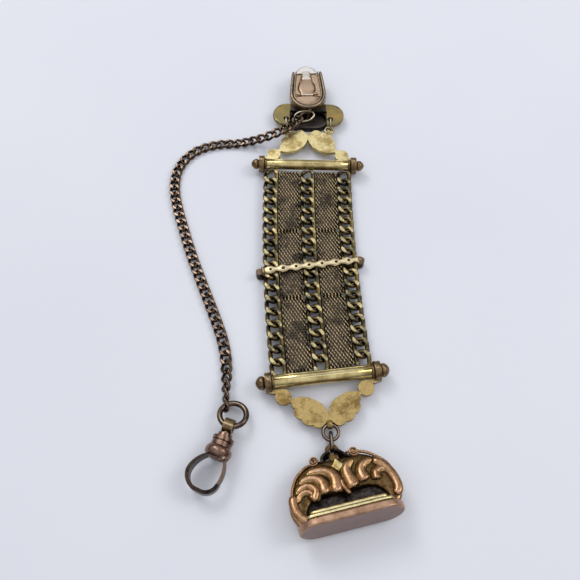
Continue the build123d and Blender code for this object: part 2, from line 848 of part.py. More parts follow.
# Swivel ring: one side in the last link, the other in the swivel's head
last_frame = safety_frames[-1]
ring_back = flat_direction(swivel_ring_heading + 180, -swivel_ring_lean)
ring_side = flat_direction(swivel_ring_heading + 90)
reach_angle = radians(swivel_ring_reach_angle)
to_chain = ring_back * -cos(reach_angle) + ring_side * -sin(reach_angle)
chain_heading = safety_heading(safety_count - 1)
chain_end = (
    last_frame.origin
    + flat_direction(chain_heading) * swivel_slack_along
    - flat_direction(chain_heading + 90) * swivel_slack_across
)
ring_place = chain_end - to_chain * swivel_ring_radius
ring_lift = snap_lift - swivel_ring_radius * sin(radians(swivel_ring_lean))
ring_centre = Vector(ring_place.X, ring_place.Y, ring_lift)
swivel_frame = frame_at(ring_centre, ring_side, ring_back)
head_centre = ring_centre - ring_back * swivel_ring_radius

with BuildPart() as swivel_ring:
    add(ring_part(swivel_frame, swivel_ring_radius, swivel_ring_wire))
swivel_ring.part.label = "swivel_ring"
export_step(swivel_ring.part, "parts/swivel_ring.step")

# Snap frame: x to the broad side of the hook, y along the snap, z up
snap_along = flat_direction(snap_heading)
snap_across = flat_direction(snap_heading - 90)
snap_frame = frame_at(head_centre, snap_across, snap_along)
turning_plane = Plane(origin=head_centre, x_dir=snap_across, z_dir=snap_across.cross(snap_along))
snap_axis = Axis(head_centre, snap_along)
button_start = stem_length - stem_button_length

with BuildPart() as swivel_stem:
    with BuildSketch(turning_plane):
        with BuildLine():
            Polyline(
                (0, head_diameter * 0.4),
                (stem_diameter / 2, head_diameter * 0.4),
                (stem_diameter / 2, button_start),
                (stem_button / 2, button_start),
                (stem_button / 2, stem_length),
                (0, stem_length),
                (0, head_diameter * 0.4),
            )
        make_face()
    revolve(axis=snap_axis)
    with BuildSketch(across_frame(head_centre, snap_frame)):
        Circle(head_diameter / 2)
    extrude(amount=head_width / 2, both=True)
    with BuildSketch(across_frame(head_centre, snap_frame)):
        Circle(head_hole / 2)
    extrude(amount=head_diameter, both=True, mode=Mode.SUBTRACT)
swivel_stem.part.label = "swivel_stem"
export_step(swivel_stem.part, "parts/swivel_stem.step")

# Barrel: neck, collar, bands and a round bulb, hollow round the stem's button
barrel_end = barrel_start + barrel_length
neck_end = barrel_start + barrel_length * 0.16
collar_end = neck_end + barrel_length * 0.13
groove_end = collar_end + barrel_length * 0.05
band_end = groove_end + barrel_length * 0.16
bulb_widest = band_end + barrel_length * 0.24
gate_pin_offset = barrel_bulb * 0.3
gate_pin_reach = barrel_end - barrel_length * 0.13
gate_pin_point = snap_frame.from_local_coords(Vector(-gate_pin_offset, gate_pin_reach, 0))
slot_width = gate_width + 2 * side_clearance

with BuildPart() as swivel_barrel:
    with BuildSketch(turning_plane):
        with BuildLine():
            Polyline(
                (0, barrel_start),
                (barrel_neck / 2 * 0.9, barrel_start),
                (barrel_neck / 2, neck_end),
                (barrel_collar / 2, neck_end),
                (barrel_collar / 2, collar_end),
                (barrel_collar / 2 * 0.86, collar_end),
                (barrel_collar / 2 * 0.86, groove_end),
                (barrel_collar / 2 * 0.95, groove_end),
                (barrel_collar / 2 * 0.95, band_end),
            )
            ThreePointArc(
                (barrel_collar / 2 * 0.95, band_end),
                (barrel_bulb / 2, bulb_widest),
                (barrel_bulb / 2 * 0.72, barrel_end - barrel_length * 0.07),
            )
            ThreePointArc(
                (barrel_bulb / 2 * 0.72, barrel_end - barrel_length * 0.07),
                (barrel_bulb / 2 * 0.45, barrel_end - barrel_length * 0.015),
                (0, barrel_end),
            )
            Line((0, barrel_end), (0, barrel_start))
        make_face()
    revolve(axis=snap_axis)
    with BuildSketch(turning_plane):
        with BuildLine():
            Polyline(
                (0, barrel_start - overrun),
                (stem_diameter / 2 + pin_clearance, barrel_start - overrun),
                (stem_diameter / 2 + pin_clearance, button_start - side_clearance),
                (stem_button / 2 + pin_clearance, button_start - side_clearance),
                (stem_button / 2 + pin_clearance, stem_length + side_clearance),
                (0, stem_length + side_clearance),
                (0, barrel_start - overrun),
            )
        make_face()
    revolve(axis=snap_axis, mode=Mode.SUBTRACT)
    # Slot and pin hole for the gate's root
    with BuildSketch(snap_frame):
        with Locations((-gate_pin_offset, gate_pin_reach)):
            Circle(gate_thickness + side_clearance)
        with Locations((-gate_pin_offset, gate_pin_reach + barrel_bulb / 2)):
            Rectangle(2 * (gate_thickness + side_clearance), barrel_bulb)
    extrude(amount=slot_width / 2, both=True, mode=Mode.SUBTRACT)
    with BuildSketch(snap_frame.offset(-barrel_bulb / 2)):
        with Locations((-gate_pin_offset, gate_pin_reach)):
            Circle(gate_pin_diameter / 2)
    extrude(amount=barrel_bulb, mode=Mode.SUBTRACT)
swivel_barrel.part.label = "swivel_barrel"
export_step(swivel_barrel.part, "parts/swivel_barrel.step")

# Hook: a flat band bent to a drop shape, broad at its root and narrow at its tip
hook_root = barrel_end - barrel_length * 0.12
hook_end = barrel_end + hook_length
hook_left = hook_offset + hook_half_width
hook_right = hook_offset - hook_half_width
root_place = (barrel_bulb * 0.24, hook_root)
broad_place = (hook_left, barrel_end + hook_length * 0.52)
low_place = (hook_offset, hook_end)
tip_place = (hook_right + hook_half_width * 0.08, barrel_end + hook_length * 0.66)


def hook_side(outward):
    """Line of the band's outer or inner face."""
    shift = outward * hook_band / 2
    with BuildLine() as side_line:
        first = ThreePointArc(
            (root_place[0] + shift, root_place[1]),
            (hook_left * 0.84 + shift * 0.9, barrel_end + hook_length * 0.22),
            (broad_place[0] + shift, broad_place[1]),
        )
        second = ThreePointArc(
            first @ 1,
            (hook_offset + (hook_half_width + shift) * 0.72, barrel_end + hook_length * 0.865 + shift * 0.7),
            (low_place[0], low_place[1] + shift),
        )
        ThreePointArc(
            second @ 1,
            (hook_offset - (hook_half_width + shift) * 0.76, barrel_end + hook_length * 0.87 + shift * 0.7),
            (tip_place[0] - shift, tip_place[1]),
        )
    return side_line.line


with BuildPart() as snap_hook:
    with BuildSketch(snap_frame):
        with BuildLine():
            outer = add(hook_side(1))
            inner = add(hook_side(-1))
            half_band = hook_band / 2
            Line((root_place[0] + half_band, root_place[1]), (root_place[0] - half_band, root_place[1]))
            Line((tip_place[0] - hook_band / 2, tip_place[1]), (tip_place[0] + hook_band / 2, tip_place[1]))
        make_face()
    extrude(amount=hook_band_width / 2, both=True)
    # Side view of the band: it narrows from the broad limb to the tip
    with BuildSketch(Plane(origin=head_centre, x_dir=snap_across, z_dir=snap_along)):
        with BuildLine():
            Polyline(
                (hook_left + overrun, -hook_band_width / 2),
                (hook_left + overrun, hook_band_width / 2),
                (hook_offset, hook_band_width * 0.42),
                (hook_right - overrun, hook_tip_width / 2),
                (hook_right - overrun, -hook_tip_width / 2),
                (hook_offset, -hook_band_width * 0.42),
                (hook_left + overrun, -hook_band_width / 2),
            )
        make_face()
    extrude(amount=hook_end + overrun, mode=Mode.INTERSECT)
    add(swivel_barrel.part, mode=Mode.SUBTRACT)
snap_hook.part.label = "snap_hook"
export_step(snap_hook.part, "parts/snap_hook.step")

# Gate: a thin limb from its pin in the bulb to the hook's tip
gate_tip = (tip_place[0], tip_place[1] - seat_gap)
gate_mid = (hook_right * 0.96, (gate_pin_reach + gate_tip[1]) / 2)
with BuildPart() as snap_gate:
    with BuildSketch(snap_frame):
        with BuildLine():
            outer_gate = ThreePointArc(
                (-gate_pin_offset - gate_thickness / 2, gate_pin_reach),
                (gate_mid[0] - gate_thickness / 2, gate_mid[1]),
                (gate_tip[0] - gate_thickness / 2, gate_tip[1]),
            )
            inner_gate = ThreePointArc(
                (-gate_pin_offset + gate_thickness / 2, gate_pin_reach),
                (gate_mid[0] + gate_thickness / 2, gate_mid[1]),
                (gate_tip[0] + gate_thickness / 2, gate_tip[1]),
            )
            Line(outer_gate @ 0, inner_gate @ 0)
            Line(outer_gate @ 1, inner_gate @ 1)
        make_face()
        with Locations((-gate_pin_offset, gate_pin_reach)):
            Circle(gate_thickness)
    extrude(amount=gate_width / 2, both=True)
    with BuildSketch(snap_frame):
        with Locations((-gate_pin_offset, gate_pin_reach)):
            Circle(gate_pin_diameter / 2 + pin_clearance)
    extrude(amount=gate_width, both=True, mode=Mode.SUBTRACT)
snap_gate.part.label = "snap_gate"
export_step(snap_gate.part, "parts/snap_gate.step")

bulb_chord = 2 * sqrt((barrel_bulb / 2 * 0.82) ** 2 - gate_pin_offset**2)
with BuildPart(Plane(origin=gate_pin_point, x_dir=snap_across, z_dir=snap_frame.z_dir)) as gate_pin:
    Cylinder(gate_pin_diameter / 2, bulb_chord)
gate_pin.part.label = "gate_pin"
export_step(gate_pin.part, "parts/gate_pin.step")

# Jump ring through the bottom hanger's knuckle
bottom_plate = bottom_frame.offset(plate_drop)
jump_ring_centre = bottom_plate.from_local_coords(Vector(0, bottom_knuckle_reach + jump_ring_radius, 0))
with BuildPart() as bottom_jump_ring:
    add(
        ring_part(
            frame_at(jump_ring_centre, bottom_frame.x_dir, bottom_frame.y_dir),
            jump_ring_radius,
            jump_ring_wire,
        )
    )
bottom_jump_ring.part.label = "bottom_jump_ring"
export_step(bottom_jump_ring.part, "parts/bottom_jump_ring.step")

# Bail: an upright long link round the jump ring and the seal's eye
bail_along = flat_direction(bail_heading)
bail_wire_point = jump_ring_centre + bail_along * (jump_ring_radius + 2 * wire_gap)
bail_lift = bail_half_height + bail_wire / 2 + seat_gap * 2
bail_centre = Vector(bail_wire_point.X, bail_wire_point.Y, bail_lift)
bail_plane = frame_at(bail_centre, bail_along, Vector(0, 0, 1))
bail_straight = bail_half_length - bail_half_height
with BuildPart() as seal_bail:
    with BuildLine(bail_plane) as bail_path:
        Polyline((-bail_straight, bail_half_height), (bail_straight, bail_half_height))
        ThreePointArc(
            (bail_straight, bail_half_height), (bail_half_length, 0), (bail_straight, -bail_half_height)
        )
    with BuildSketch(Plane(origin=bail_path.line @ 0, z_dir=bail_path.line % 0)):
        Circle(bail_wire / 2)
    sweep(path=bail_path.line)
    half_bail = seal_bail.part
    add(half_bail.rotate(Axis(bail_centre, bail_plane.z_dir), 180))
seal_bail.part.label = "seal_bail"
export_step(seal_bail.part, "parts/seal_bail.step")

# Seal frame: origin at its eye, x across, y towards its face, z up and a little back
seal_along = flat_direction(seal_heading, seal_pitch)
seal_across = flat_direction(seal_heading - 90)
eye_point = bail_centre + bail_along * (bail_half_length + wire_gap)
seal_eye_lift = bail_lift + 1.5 * seat_gap
eye_point = Vector(eye_point.X, eye_point.Y, seal_eye_lift)
seal_frame = frame_at(eye_point, seal_across, seal_along)
face_reach = seal_height
base_top = face_reach - seal_base_thickness
step_top = base_top - 2 * seal_step_thickness

with BuildPart() as seal_eye:
    with BuildSketch(seal_frame):
        Circle(seal_eye_radius + seal_eye_wire / 2)
        Circle(seal_eye_radius - seal_eye_wire / 2, mode=Mode.SUBTRACT)
    extrude(amount=seal_eye_wire / 2, both=True)
    with BuildSketch(seal_frame):
        with Locations((0, seal_height * 0.15)):
            Rectangle(seal_eye_radius * 1.6, seal_height * 0.14)
    extrude(amount=seal_eye_wire * 0.7, both=True)
    with BuildSketch(seal_frame):
        Circle(seal_eye_radius - seal_eye_wire / 2)
    extrude(amount=seal_eye_wire, both=True, mode=Mode.SUBTRACT)

# Shares of the seal's half width and height: outer curve, lobes and arch of one scroll
half_seal = seal_width / 2
scroll_outer_shares = ((0.0, 0.185), (0.39, 0.175), (0.74, 0.27), (0.985, 0.60), (0.93, 0.9))
scroll_inner_shares = ((0.80, 0.9), (0.76, 0.72), (0.60, 0.60), (0.38, 0.545), (0.14, 0.57), (0.0, 0.55))
lobe_shares = (
    ((0.10, 0.29), (0.20, 0.43), (0.15, 0.58), (0.06, 0.43)),
    ((0.34, 0.235), (0.47, 0.39), (0.40, 0.56), (0.235, 0.40)),
    ((0.62, 0.28), (0.78, 0.43), (0.64, 0.60), (0.47, 0.44)),
)


def seal_point(shares, side):
    return (side * shares[0] * half_seal, shares[1] * seal_height)


def scroll_half(side):
    """Half of the handle: a curved plate with three stepped crescent lobes."""
    with BuildPart() as scroll:
        with BuildSketch(seal_frame):
            with BuildLine():
                Spline(*[seal_point(shares, side) for shares in scroll_outer_shares])
                Line(seal_point(scroll_outer_shares[-1], side), seal_point(scroll_inner_shares[0], side))
                Spline(*[seal_point(shares, side) for shares in scroll_inner_shares])
                Line(seal_point(scroll_inner_shares[-1], side), seal_point(scroll_outer_shares[0], side))
            make_face()
        extrude(amount=scroll_thickness / 2, both=True)
        for thickness, shares in zip(lobe_thicknesses, lobe_shares):
            start, outer_mid, end, inner_mid = [seal_point(share, side) for share in shares]
            with BuildSketch(seal_frame):
                with BuildLine():
                    ThreePointArc(start, outer_mid, end)
                    ThreePointArc(end, inner_mid, start)
                make_face()
            extrude(amount=thickness / 2, both=True)
        add(seal_eye.part, mode=Mode.SUBTRACT)
    return scroll.part


for side_name, side in (("left", 1), ("right", -1)):
    scroll = scroll_half(side)
    scroll.label = f"seal_scroll_{side_name}"
    export_step(scroll, f"parts/seal_scroll_{side_name}.step")
seal_eye.part.label = "seal_eye"
export_step(seal_eye.part, "parts/seal_eye.step")

with BuildPart() as seal_platform:
    for count, widen in ((2, 0.0), (1, seal_step_thickness)):
        step_plane = Plane(
            origin=seal_frame.from_local_coords(Vector(0, base_top - count * seal_step_thickness, 0)),
            x_dir=seal_across,
            z_dir=seal_along,
        )
        with BuildSketch(step_plane):
            SlotOverall(seal_step_width + 2 * widen, seal_step_depth + 2 * widen)
        extrude(amount=seal_step_thickness)
seal_platform.part.label = "seal_platform"
export_step(seal_platform.part, "parts/seal_platform.step")

base_plane = Plane(
    origin=seal_frame.from_local_coords(Vector(0, base_top, 0)), x_dir=seal_across, z_dir=seal_along
)
with BuildPart() as seal_base_plate:
    with BuildSketch(base_plane):
        SlotOverall(seal_base_share * seal_width, seal_base_depth)
    extrude(amount=seal_base_thickness)
    base_faces = seal_base_plate.faces().sort_by(Axis(base_plane.origin, base_plane.z_dir))
    fillet(base_faces[0].edges() + base_faces[-1].edges(), seal_base_thickness * seal_round_share)
seal_base_plate.part.label = "seal_base_plate"
export_step(seal_base_plate.part, "parts/seal_base_plate.step")

# Slider: strip in front, plate behind, a post and a ball joining them at the ends
slider_distance = tube_diameter / 2 + slider_row_share * strap_length
slider_base = strap_frame(slider_distance, 0, 0)
slider_angle = row_angle(slider_distance) + slider_skew
slider_across = flat_direction(slider_angle)
slider_up = flat_direction(slider_angle + 90)
slider_frame = frame_at(Vector(slider_base.origin.X, slider_base.origin.Y, 0), slider_across, slider_up)
slider_reach = strap_width / 2 + 2 * seat_gap + slider_post / 2
slider_front_lift = strap_lift + link_filed / 2 + seat_gap
slider_top = slider_front_lift + slider_front_thickness

with BuildPart() as slider_front_strip:
    with BuildSketch(slider_frame.offset(slider_front_lift)):
        Rectangle(2 * slider_reach, slider_band * 0.78)
        with GridLocations(2 * slider_reach / (slider_bumps + 1), 0, slider_bumps, 1):
            Circle(slider_bump)
        Rectangle(2 * slider_reach, slider_band, mode=Mode.INTERSECT)
        with Locations((-slider_reach * slider_hole_share, 0)):
            Circle(slider_hole / 2, mode=Mode.SUBTRACT)
    extrude(amount=slider_front_thickness)
slider_front_strip.part.label = "slider_front_strip"
export_step(slider_front_strip.part, "parts/slider_front_strip.step")

with BuildPart() as slider_back_plate:
    with BuildSketch(slider_frame):
        SlotOverall(2 * slider_reach + slider_post, slider_band)
    extrude(amount=slider_plate)
slider_back_plate.part.label = "slider_back_plate"
export_step(slider_back_plate.part, "parts/slider_back_plate.step")

post_height = slider_front_lift - slider_plate
with BuildPart() as slider_end_posts:
    with BuildSketch(slider_frame.offset(slider_plate)):
        with Locations((-slider_reach, 0), (slider_reach, 0)):
            Circle(slider_post / 2)
    extrude(amount=post_height)
slider_end_posts.part.label = "slider_end_posts"
export_step(slider_end_posts.part, "parts/slider_end_posts.step")

print("strap row pitch", round(row_pitch, 3))
print("safety chain end", [round(value, 2) for value in (point.X, point.Y, point.Z)])
print("swivel ring centre", [round(value, 2) for value in (ring_centre.X, ring_centre.Y, ring_centre.Z)])
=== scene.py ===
import bpy
import bmesh
import math
import numpy as np
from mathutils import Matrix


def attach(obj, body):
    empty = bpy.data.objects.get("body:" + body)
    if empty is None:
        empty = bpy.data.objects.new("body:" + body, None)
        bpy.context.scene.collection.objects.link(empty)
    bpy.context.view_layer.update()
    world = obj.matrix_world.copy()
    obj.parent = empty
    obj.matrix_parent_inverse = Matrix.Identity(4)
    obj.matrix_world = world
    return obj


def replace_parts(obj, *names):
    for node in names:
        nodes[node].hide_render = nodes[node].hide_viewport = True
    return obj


# A pocket watch fob in brass: strap of curb chains and woven mesh, slider, vest clip,
# seal and safety chain with a swivel snap, lying on its front on a pale table.
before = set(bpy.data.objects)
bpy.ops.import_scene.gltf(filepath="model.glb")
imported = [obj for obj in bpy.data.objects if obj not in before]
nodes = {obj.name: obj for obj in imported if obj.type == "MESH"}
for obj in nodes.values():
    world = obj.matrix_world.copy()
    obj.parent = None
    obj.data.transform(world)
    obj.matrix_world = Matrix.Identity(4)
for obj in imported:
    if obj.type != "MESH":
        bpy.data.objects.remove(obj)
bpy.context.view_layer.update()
mm = 0.001


def toLinear(hexColour):
    # sRGB hex to the linear colour that the shader wants
    parts = [int(hexColour[i:i + 2], 16) / 255 for i in (1, 3, 5)]
    return tuple(c / 12.92 if c <= 0.04045 else ((c + 0.055) / 1.055) ** 2.4 for c in parts) + (1.0,)


def addNode(tree, kind, settings=None, links=None):
    # one shader node: settings by property or socket, links by socket
    node = tree.nodes.new(kind)
    for key, value in (settings or {}).items():
        if isinstance(key, str) and hasattr(node, key):
            setattr(node, key, value)
        else:
            node.inputs[key].default_value = value
    for key, source in (links or {}).items():
        tree.links.new(source, node.inputs[key])
    return node


def meshObject(name, verts, faces, body, material, smooth=True):
    # mesh from arrays in mm: verts (n, 3), faces (m, 4) or (m, 3) indices
    mesh = bpy.data.meshes.new(name)
    verts = np.asarray(verts, float) * mm
    faces = np.asarray(faces, int)
    sides = faces.shape[1]
    mesh.vertices.add(len(verts))
    mesh.vertices.foreach_set("co", verts.ravel())
    mesh.loops.add(faces.size)
    mesh.loops.foreach_set("vertex_index", faces.ravel())
    mesh.polygons.add(len(faces))
    mesh.polygons.foreach_set("loop_start", np.arange(0, faces.size, sides))
    mesh.polygons.foreach_set("loop_total", np.full(len(faces), sides))
    mesh.polygons.foreach_set("use_smooth", np.full(len(faces), smooth))
    mesh.update(calc_edges=True)
    mesh.validate()
    thing = bpy.data.objects.new(name, mesh)
    bpy.context.scene.collection.objects.link(thing)
    mesh.materials.append(material)
    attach(thing, body)
    return thing


def weld(thing, gap=0.002):
    # points that lie together become one, and the faces look outward
    shell = bmesh.new()
    shell.from_mesh(thing.data)
    bmesh.ops.remove_doubles(shell, verts=shell.verts, dist=gap * mm)
    bmesh.ops.dissolve_degenerate(shell, edges=shell.edges, dist=gap * mm * 0.5)
    bmesh.ops.recalc_face_normals(shell, faces=shell.faces)
    shell.to_mesh(thing.data)
    shell.free()
    thing.data.update()


def roundPower(values, power):
    # signed power: squares a circle off as the power falls below one
    return np.sign(values) * np.abs(values) ** power


def smoothLine(points, count):
    # Catmull-Rom curve through the points, the same share of it between each two
    points = np.asarray(points, float)
    padded = np.concatenate([2 * points[:1] - points[1:2], points, 2 * points[-1:] - points[-2:-1]])
    share = np.linspace(0, len(points) - 1, count)
    leg = np.minimum(share.astype(int), len(points) - 2)
    t = (share - leg)[:, None]
    p0, p1, p2, p3 = padded[leg], padded[leg + 1], padded[leg + 2], padded[leg + 3]
    slope = (p2 - p0) * t
    bend = (2 * p0 - 5 * p1 + 4 * p2 - p3) * t ** 2
    twist = (3 * p1 - 3 * p2 + p3 - p0) * t ** 3
    return 0.5 * (2 * p1 + slope + bend + twist)


def onFrame(place, across, along, height):
    # points given in a piece's own frame, moved to the fob's
    axisX, axisY, axisZ = (np.asarray(place[key], float) for key in ("x", "y", "z"))
    moved = np.asarray(place["origin"], float)
    for values, axis in ((across, axisX), (along, axisY), (height, axisZ)):
        moved = moved + np.asarray(values, float)[..., None] * axis
    return moved


def pillow(name, place, left, right, thick, lift, body, finish, square=2.0, sides=14):
    # a closed band between two lines: each section is a squared-off oval from one line to the other,
    # thick is its half height and lift the height of its middle
    left, right = np.asarray(left, float), np.asarray(right, float)
    count = len(left)
    turn = np.linspace(0, 2 * np.pi, sides, endpoint=False)
    middle = (left + right) / 2
    reach = (right - left) / 2
    wide = roundPower(np.cos(turn), 2 / square)
    tall = roundPower(np.sin(turn), 2 / square)
    flat = middle[:, None, :] + reach[:, None, :] * wide[None, :, None]
    thick = np.broadcast_to(np.asarray(thick, float), (count,))
    lift = np.broadcast_to(np.asarray(lift, float), (count,))
    height = lift[:, None] + thick[:, None] * tall[None, :]
    verts = onFrame(place, flat[..., 0], flat[..., 1], height)
    ends = np.stack([verts[0].mean(0), verts[-1].mean(0)])
    first, last = np.repeat(ends[:1], sides, 0), np.repeat(ends[1:], sides, 0)
    verts = np.concatenate([first, verts.reshape(-1, 3), last])
    thing = meshObject(name, verts, tubeFaces(1, count + 2, sides), body, metals[finish])
    weld(thing)
    return thing


def straightBand(name, place, middle, half, along, thick, lift, body, finish, square=2.0, sides=14):
    # a pillow about a straight line: half its width at each distance along
    left, right = np.stack([middle - half, along], 1), np.stack([middle + half, along], 1)
    return pillow(name, place, left, right, thick, lift, body, finish, square, sides)


def sidesOf(line, halfWidth):
    # the two lines that run beside a line at half its width
    step = np.gradient(line, axis=0)
    step = step / np.linalg.norm(step, axis=1, keepdims=True)
    normal = np.stack([-step[:, 1], step[:, 0]], 1) * np.reshape(halfWidth, (-1, 1))
    return line - normal, line + normal


def roundedCopy(name, source, width, segments=2):
    # the CAD piece with its sharp edges rounded over
    thing = bpy.data.objects.new(name, nodes[source].data.copy())
    scene.collection.objects.link(thing)
    weld(thing, 0.001)
    shell = bmesh.new()
    shell.from_mesh(thing.data)
    bmesh.ops.dissolve_limit(shell, angle_limit=math.radians(2), verts=shell.verts, edges=shell.edges)
    shell.to_mesh(thing.data)
    shell.free()
    edge = thing.modifiers.new("edge", "BEVEL")
    edge.width = width * mm
    edge.segments = segments
    edge.limit_method = "ANGLE"
    edge.angle_limit = math.radians(35)
    edge.harden_normals = True
    return thing


scene = bpy.context.scene

# Finishes. Each starts from the real metal: colours are hex, sizes in mm.
# "base" is the clean metal, "tarnish" the dull patches; the black in the hollows is part oxide and part
# painted shade; "bright" the edge or facet that looks along the piece's z, part kept clean by wear and part
# painted highlight on the faces turned up to the lamps.
finishes = {
    # filed brass over black oxide: only the flats stay bright, part filed wear and part painted highlight
    "oxidisedBrass": dict(base="#857046", tarnish="#4C4838", hollowOxideAndShade="#0C0A08",
                          bright="#F0DDA2", smear="#2E2B26", fade=0.75,
                          roughness=0.28, patch=1.2, grain=0.16, bump=0.10, hollow=0.60, facet=(0.95, 0.995)),
    # woven brass wire, black between the coils as oxide and painted shade, the crowns of the coils bright as
    # wear and painted highlight
    "meshBrass": dict(base="#382B1C", tarnish="#1D1814", hollowOxideAndShade="#030202",
                      bright="#EBD09C", smear="#15120F", fade=0.35,
                      roughness=0.28, patch=1.2, grain=0.10, bump=0.06, hollow=0.40, facet=(0.75, 0.99)),
    # drawn yellow brass of the bars and crest links: clean, with a soft polish
    "barBrass": dict(base="#DCC88E", tarnish="#A08C58", hollowOxideAndShade="#3A2B16", bright="#FFF2C0",
                     roughness=0.20, patch=3.0, grain=0.30, bump=0.03, hollow=0.60, facet=(0.97, 1.0)),
    # cast brass of the hangers: pale, grainy, specked brown in the pits
    "castBrass": dict(base="#DCCB92", tarnish="#836C3C", hollowOxideAndShade="#2E220F", bright="#EAD9A0", smear="#A88E56",
                      roughness=0.36, patch=0.8, grain=0.38, bump=0.60, hollow=0.60, facet=(0.99, 1.0)),
    # the lower hanger has gone browner
    "castBrassDull": dict(base="#A88F5C", tarnish="#64502C", hollowOxideAndShade="#241A0D",
                          bright="#BCA36C", smear="#7A6136",
                          roughness=0.40, patch=0.9, grain=0.38, bump=0.50, hollow=0.60, facet=(0.99, 1.0)),
    # plated strip of the slider: grey gold with brown in its pits
    "stripBrass": dict(base="#C8B68E", tarnish="#7A6848", hollowOxideAndShade="#1C140B", bright="#EADAB2",
                       roughness=0.32, patch=0.7, grain=0.28, bump=0.22, hollow=0.60, facet=(0.985, 1.0)),
    # dark brown discs in the slider's pits
    "pitBrown": dict(base="#4A3419", tarnish="#22170C", hollowOxideAndShade="#120C06", bright="#4A3419",
                     roughness=0.50, patch=0.3, grain=0.12, bump=0.20, hollow=0.30, facet=(0.999, 1.0)),
    # brown, dull brass of the ball ends
    "brownBrass": dict(base="#8A7354", tarnish="#5E4C36", hollowOxideAndShade="#1C140E", bright="#C9B48C",
                       roughness=0.36, patch=1.2, grain=0.25, bump=0.12, hollow=0.50, facet=(0.99, 1.0)),
    # rose gold wash of the clip, worn to brown on the flats
    "roseGold": dict(base="#B99C80", tarnish="#8C7156", hollowOxideAndShade="#2A1B14", bright="#CBB096",
                     roughness=0.32, patch=1.6, grain=0.25, bump=0.10, hollow=0.25, facet=(0.995, 1.0)),
    # the clip's rolled rim and jaw: greyer and darker than its deck
    "rimRose": dict(base="#93806A", tarnish="#5F5243", hollowOxideAndShade="#1F1712", bright="#C9B79C",
                    roughness=0.30, patch=1.2, grain=0.20, bump=0.08, hollow=0.35, facet=(0.97, 1.0)),
    # where thumbs have polished the clip: nearly white, part polish and part painted highlight
    "polishAndHighlight": dict(base="#FBF1E2", tarnish="#E6D4BC", hollowOxideAndShade="#6B5340", bright="#FFFCF6",
                        roughness=0.22, patch=1.6, grain=0.30, bump=0.03, hollow=0.20, facet=(0.99, 1.0)),
    # bright yellow edge of the seal's platform
    "platformBrass": dict(base="#EBDA9E", tarnish="#A8925A", hollowOxideAndShade="#2E2414", bright="#FFF3C4",
                          roughness=0.24, patch=1.4, grain=0.25, bump=0.05, hollow=0.40, facet=(0.97, 1.0)),
    # olive valleys between the seal's flutes, darker as painted shade, and the seal's eye
    "oliveRose": dict(base="#6E5636", tarnish="#3C2E1C", hollowOxideAndShade="#0E0A07", bright="#84693F",
                      roughness=0.34, patch=0.7, grain=0.14, bump=0.25, hollow=0.80, facet=(0.998, 1.0)),
    # thin golden line round each flute, kept bright by handling
    "beadGold": dict(base="#B2935A", tarnish="#5E4728", hollowOxideAndShade="#120C07", bright="#D9BC7E",
                     roughness=0.26, patch=0.7, grain=0.14, bump=0.15, hollow=0.35, facet=(0.97, 1.0)),
    # brown-grey flat of the seal's face, never engraved
    "sealFace": dict(base="#B8947A", tarnish="#8F7055", hollowOxideAndShade="#1E1614",
                     bright="#8A7570", axis=(0.22415, -0.94824, 0.22495),
                     roughness=0.38, patch=2.2, grain=0.20, bump=0.08, hollow=0.30, facet=(0.95, 0.99)),
    # crest ears: greenish brass, brown at the edges
    "crestBrass": dict(base="#7E7350", tarnish="#3F3D2C", hollowOxideAndShade="#100E0A",
                       bright="#93855A", smear="#AF9355",
                       roughness=0.34, patch=1.0, grain=0.22, bump=0.20, hollow=0.70, facet=(0.998, 1.0)),
    # dark polished steel-brown of the spring hook, with a painted highlight on its edges
    "hookBronze": dict(base="#40352F", tarnish="#171312", hollowOxideAndShade="#070606", bright="#7A6656",
                       roughness=0.30, patch=1.3, grain=0.25, bump=0.06, hollow=0.50, facet=(0.998, 1.0)),
    # rings and bail: dark bronze wire, pale along the crown, part worn and part painted highlight
    "ringBronze": dict(base="#66564A", tarnish="#362D27", hollowOxideAndShade="#0E0A08", bright="#C4B29C",
                       roughness=0.22, patch=1.2, grain=0.20, bump=0.04, hollow=0.35, facet=(0.975, 1.0)),
    # rose gold of the swivel's barrel, gone brown
    "barrelRose": dict(base="#8E7060", tarnish="#553F34", hollowOxideAndShade="#150E0B", bright="#B79A84",
                       roughness=0.26, patch=1.4, grain=0.20, bump=0.05, hollow=0.50, facet=(0.985, 1.0)),
    # rose gold of the seal's flutes and ridges, paler along their crowns, part worn and part painted
    # highlight
    "matteRose": dict(base="#B48C68", tarnish="#876544", hollowOxideAndShade="#150E09", bright="#E6C6A4",
                      roughness=0.24, patch=0.9, grain=0.12, bump=0.16, hollow=0.55, facet=(0.985, 1.0)),
    # bare bronze of the safety chain: brown, pale on the crowns, part worn and part painted highlight
    "chainBronze": dict(base="#5E4B3E", tarnish="#332922", hollowOxideAndShade="#0C0907", bright="#A48C76", fade=0.6,
                        roughness=0.26, patch=1.5, grain=0.20, bump=0.05, hollow=0.35, facet=(0.95, 0.995)),
    # rings worn bare: pale grey brass
    "greyBrass": dict(base="#B3A88E", tarnish="#6A6252", hollowOxideAndShade="#1A1712", bright="#F2E9D2",
                      roughness=0.24, patch=1.2, grain=0.22, bump=0.05, hollow=0.35, facet=(0.93, 1.0)),
    # painted shade: black inside the stamped crest, and in the other hollows and gaps where shade falls
    "shadeBlack": dict(base="#262322", tarnish="#4A433E", hollowOxideAndShade="#090808", bright="#5A524C",
                       roughness=0.42, patch=0.9, grain=0.50, bump=0.85, hollow=0.80, facet=(0.995, 1.0)),
}


# How each mask is spread: from low and high, to low and high
rangeKeys = ("From Min", "From Max", "To Min", "To Max")
spreads = {
    "patch": (0.42, 0.66, 0.0, 1.0),
    "facetWear": (0.25, 0.55, 0.35, 1.0),
    "smear": (0.47, 0.60, 0.0, 0.85),
    "hollow": (0.35, 0.85, 1.0, 0.0),
}
texture = dict(smearSize=3.4, bumpDepth=0.1, glossLow=0.3, glossHigh=0.7, smooth=0.75, rough=1.35)


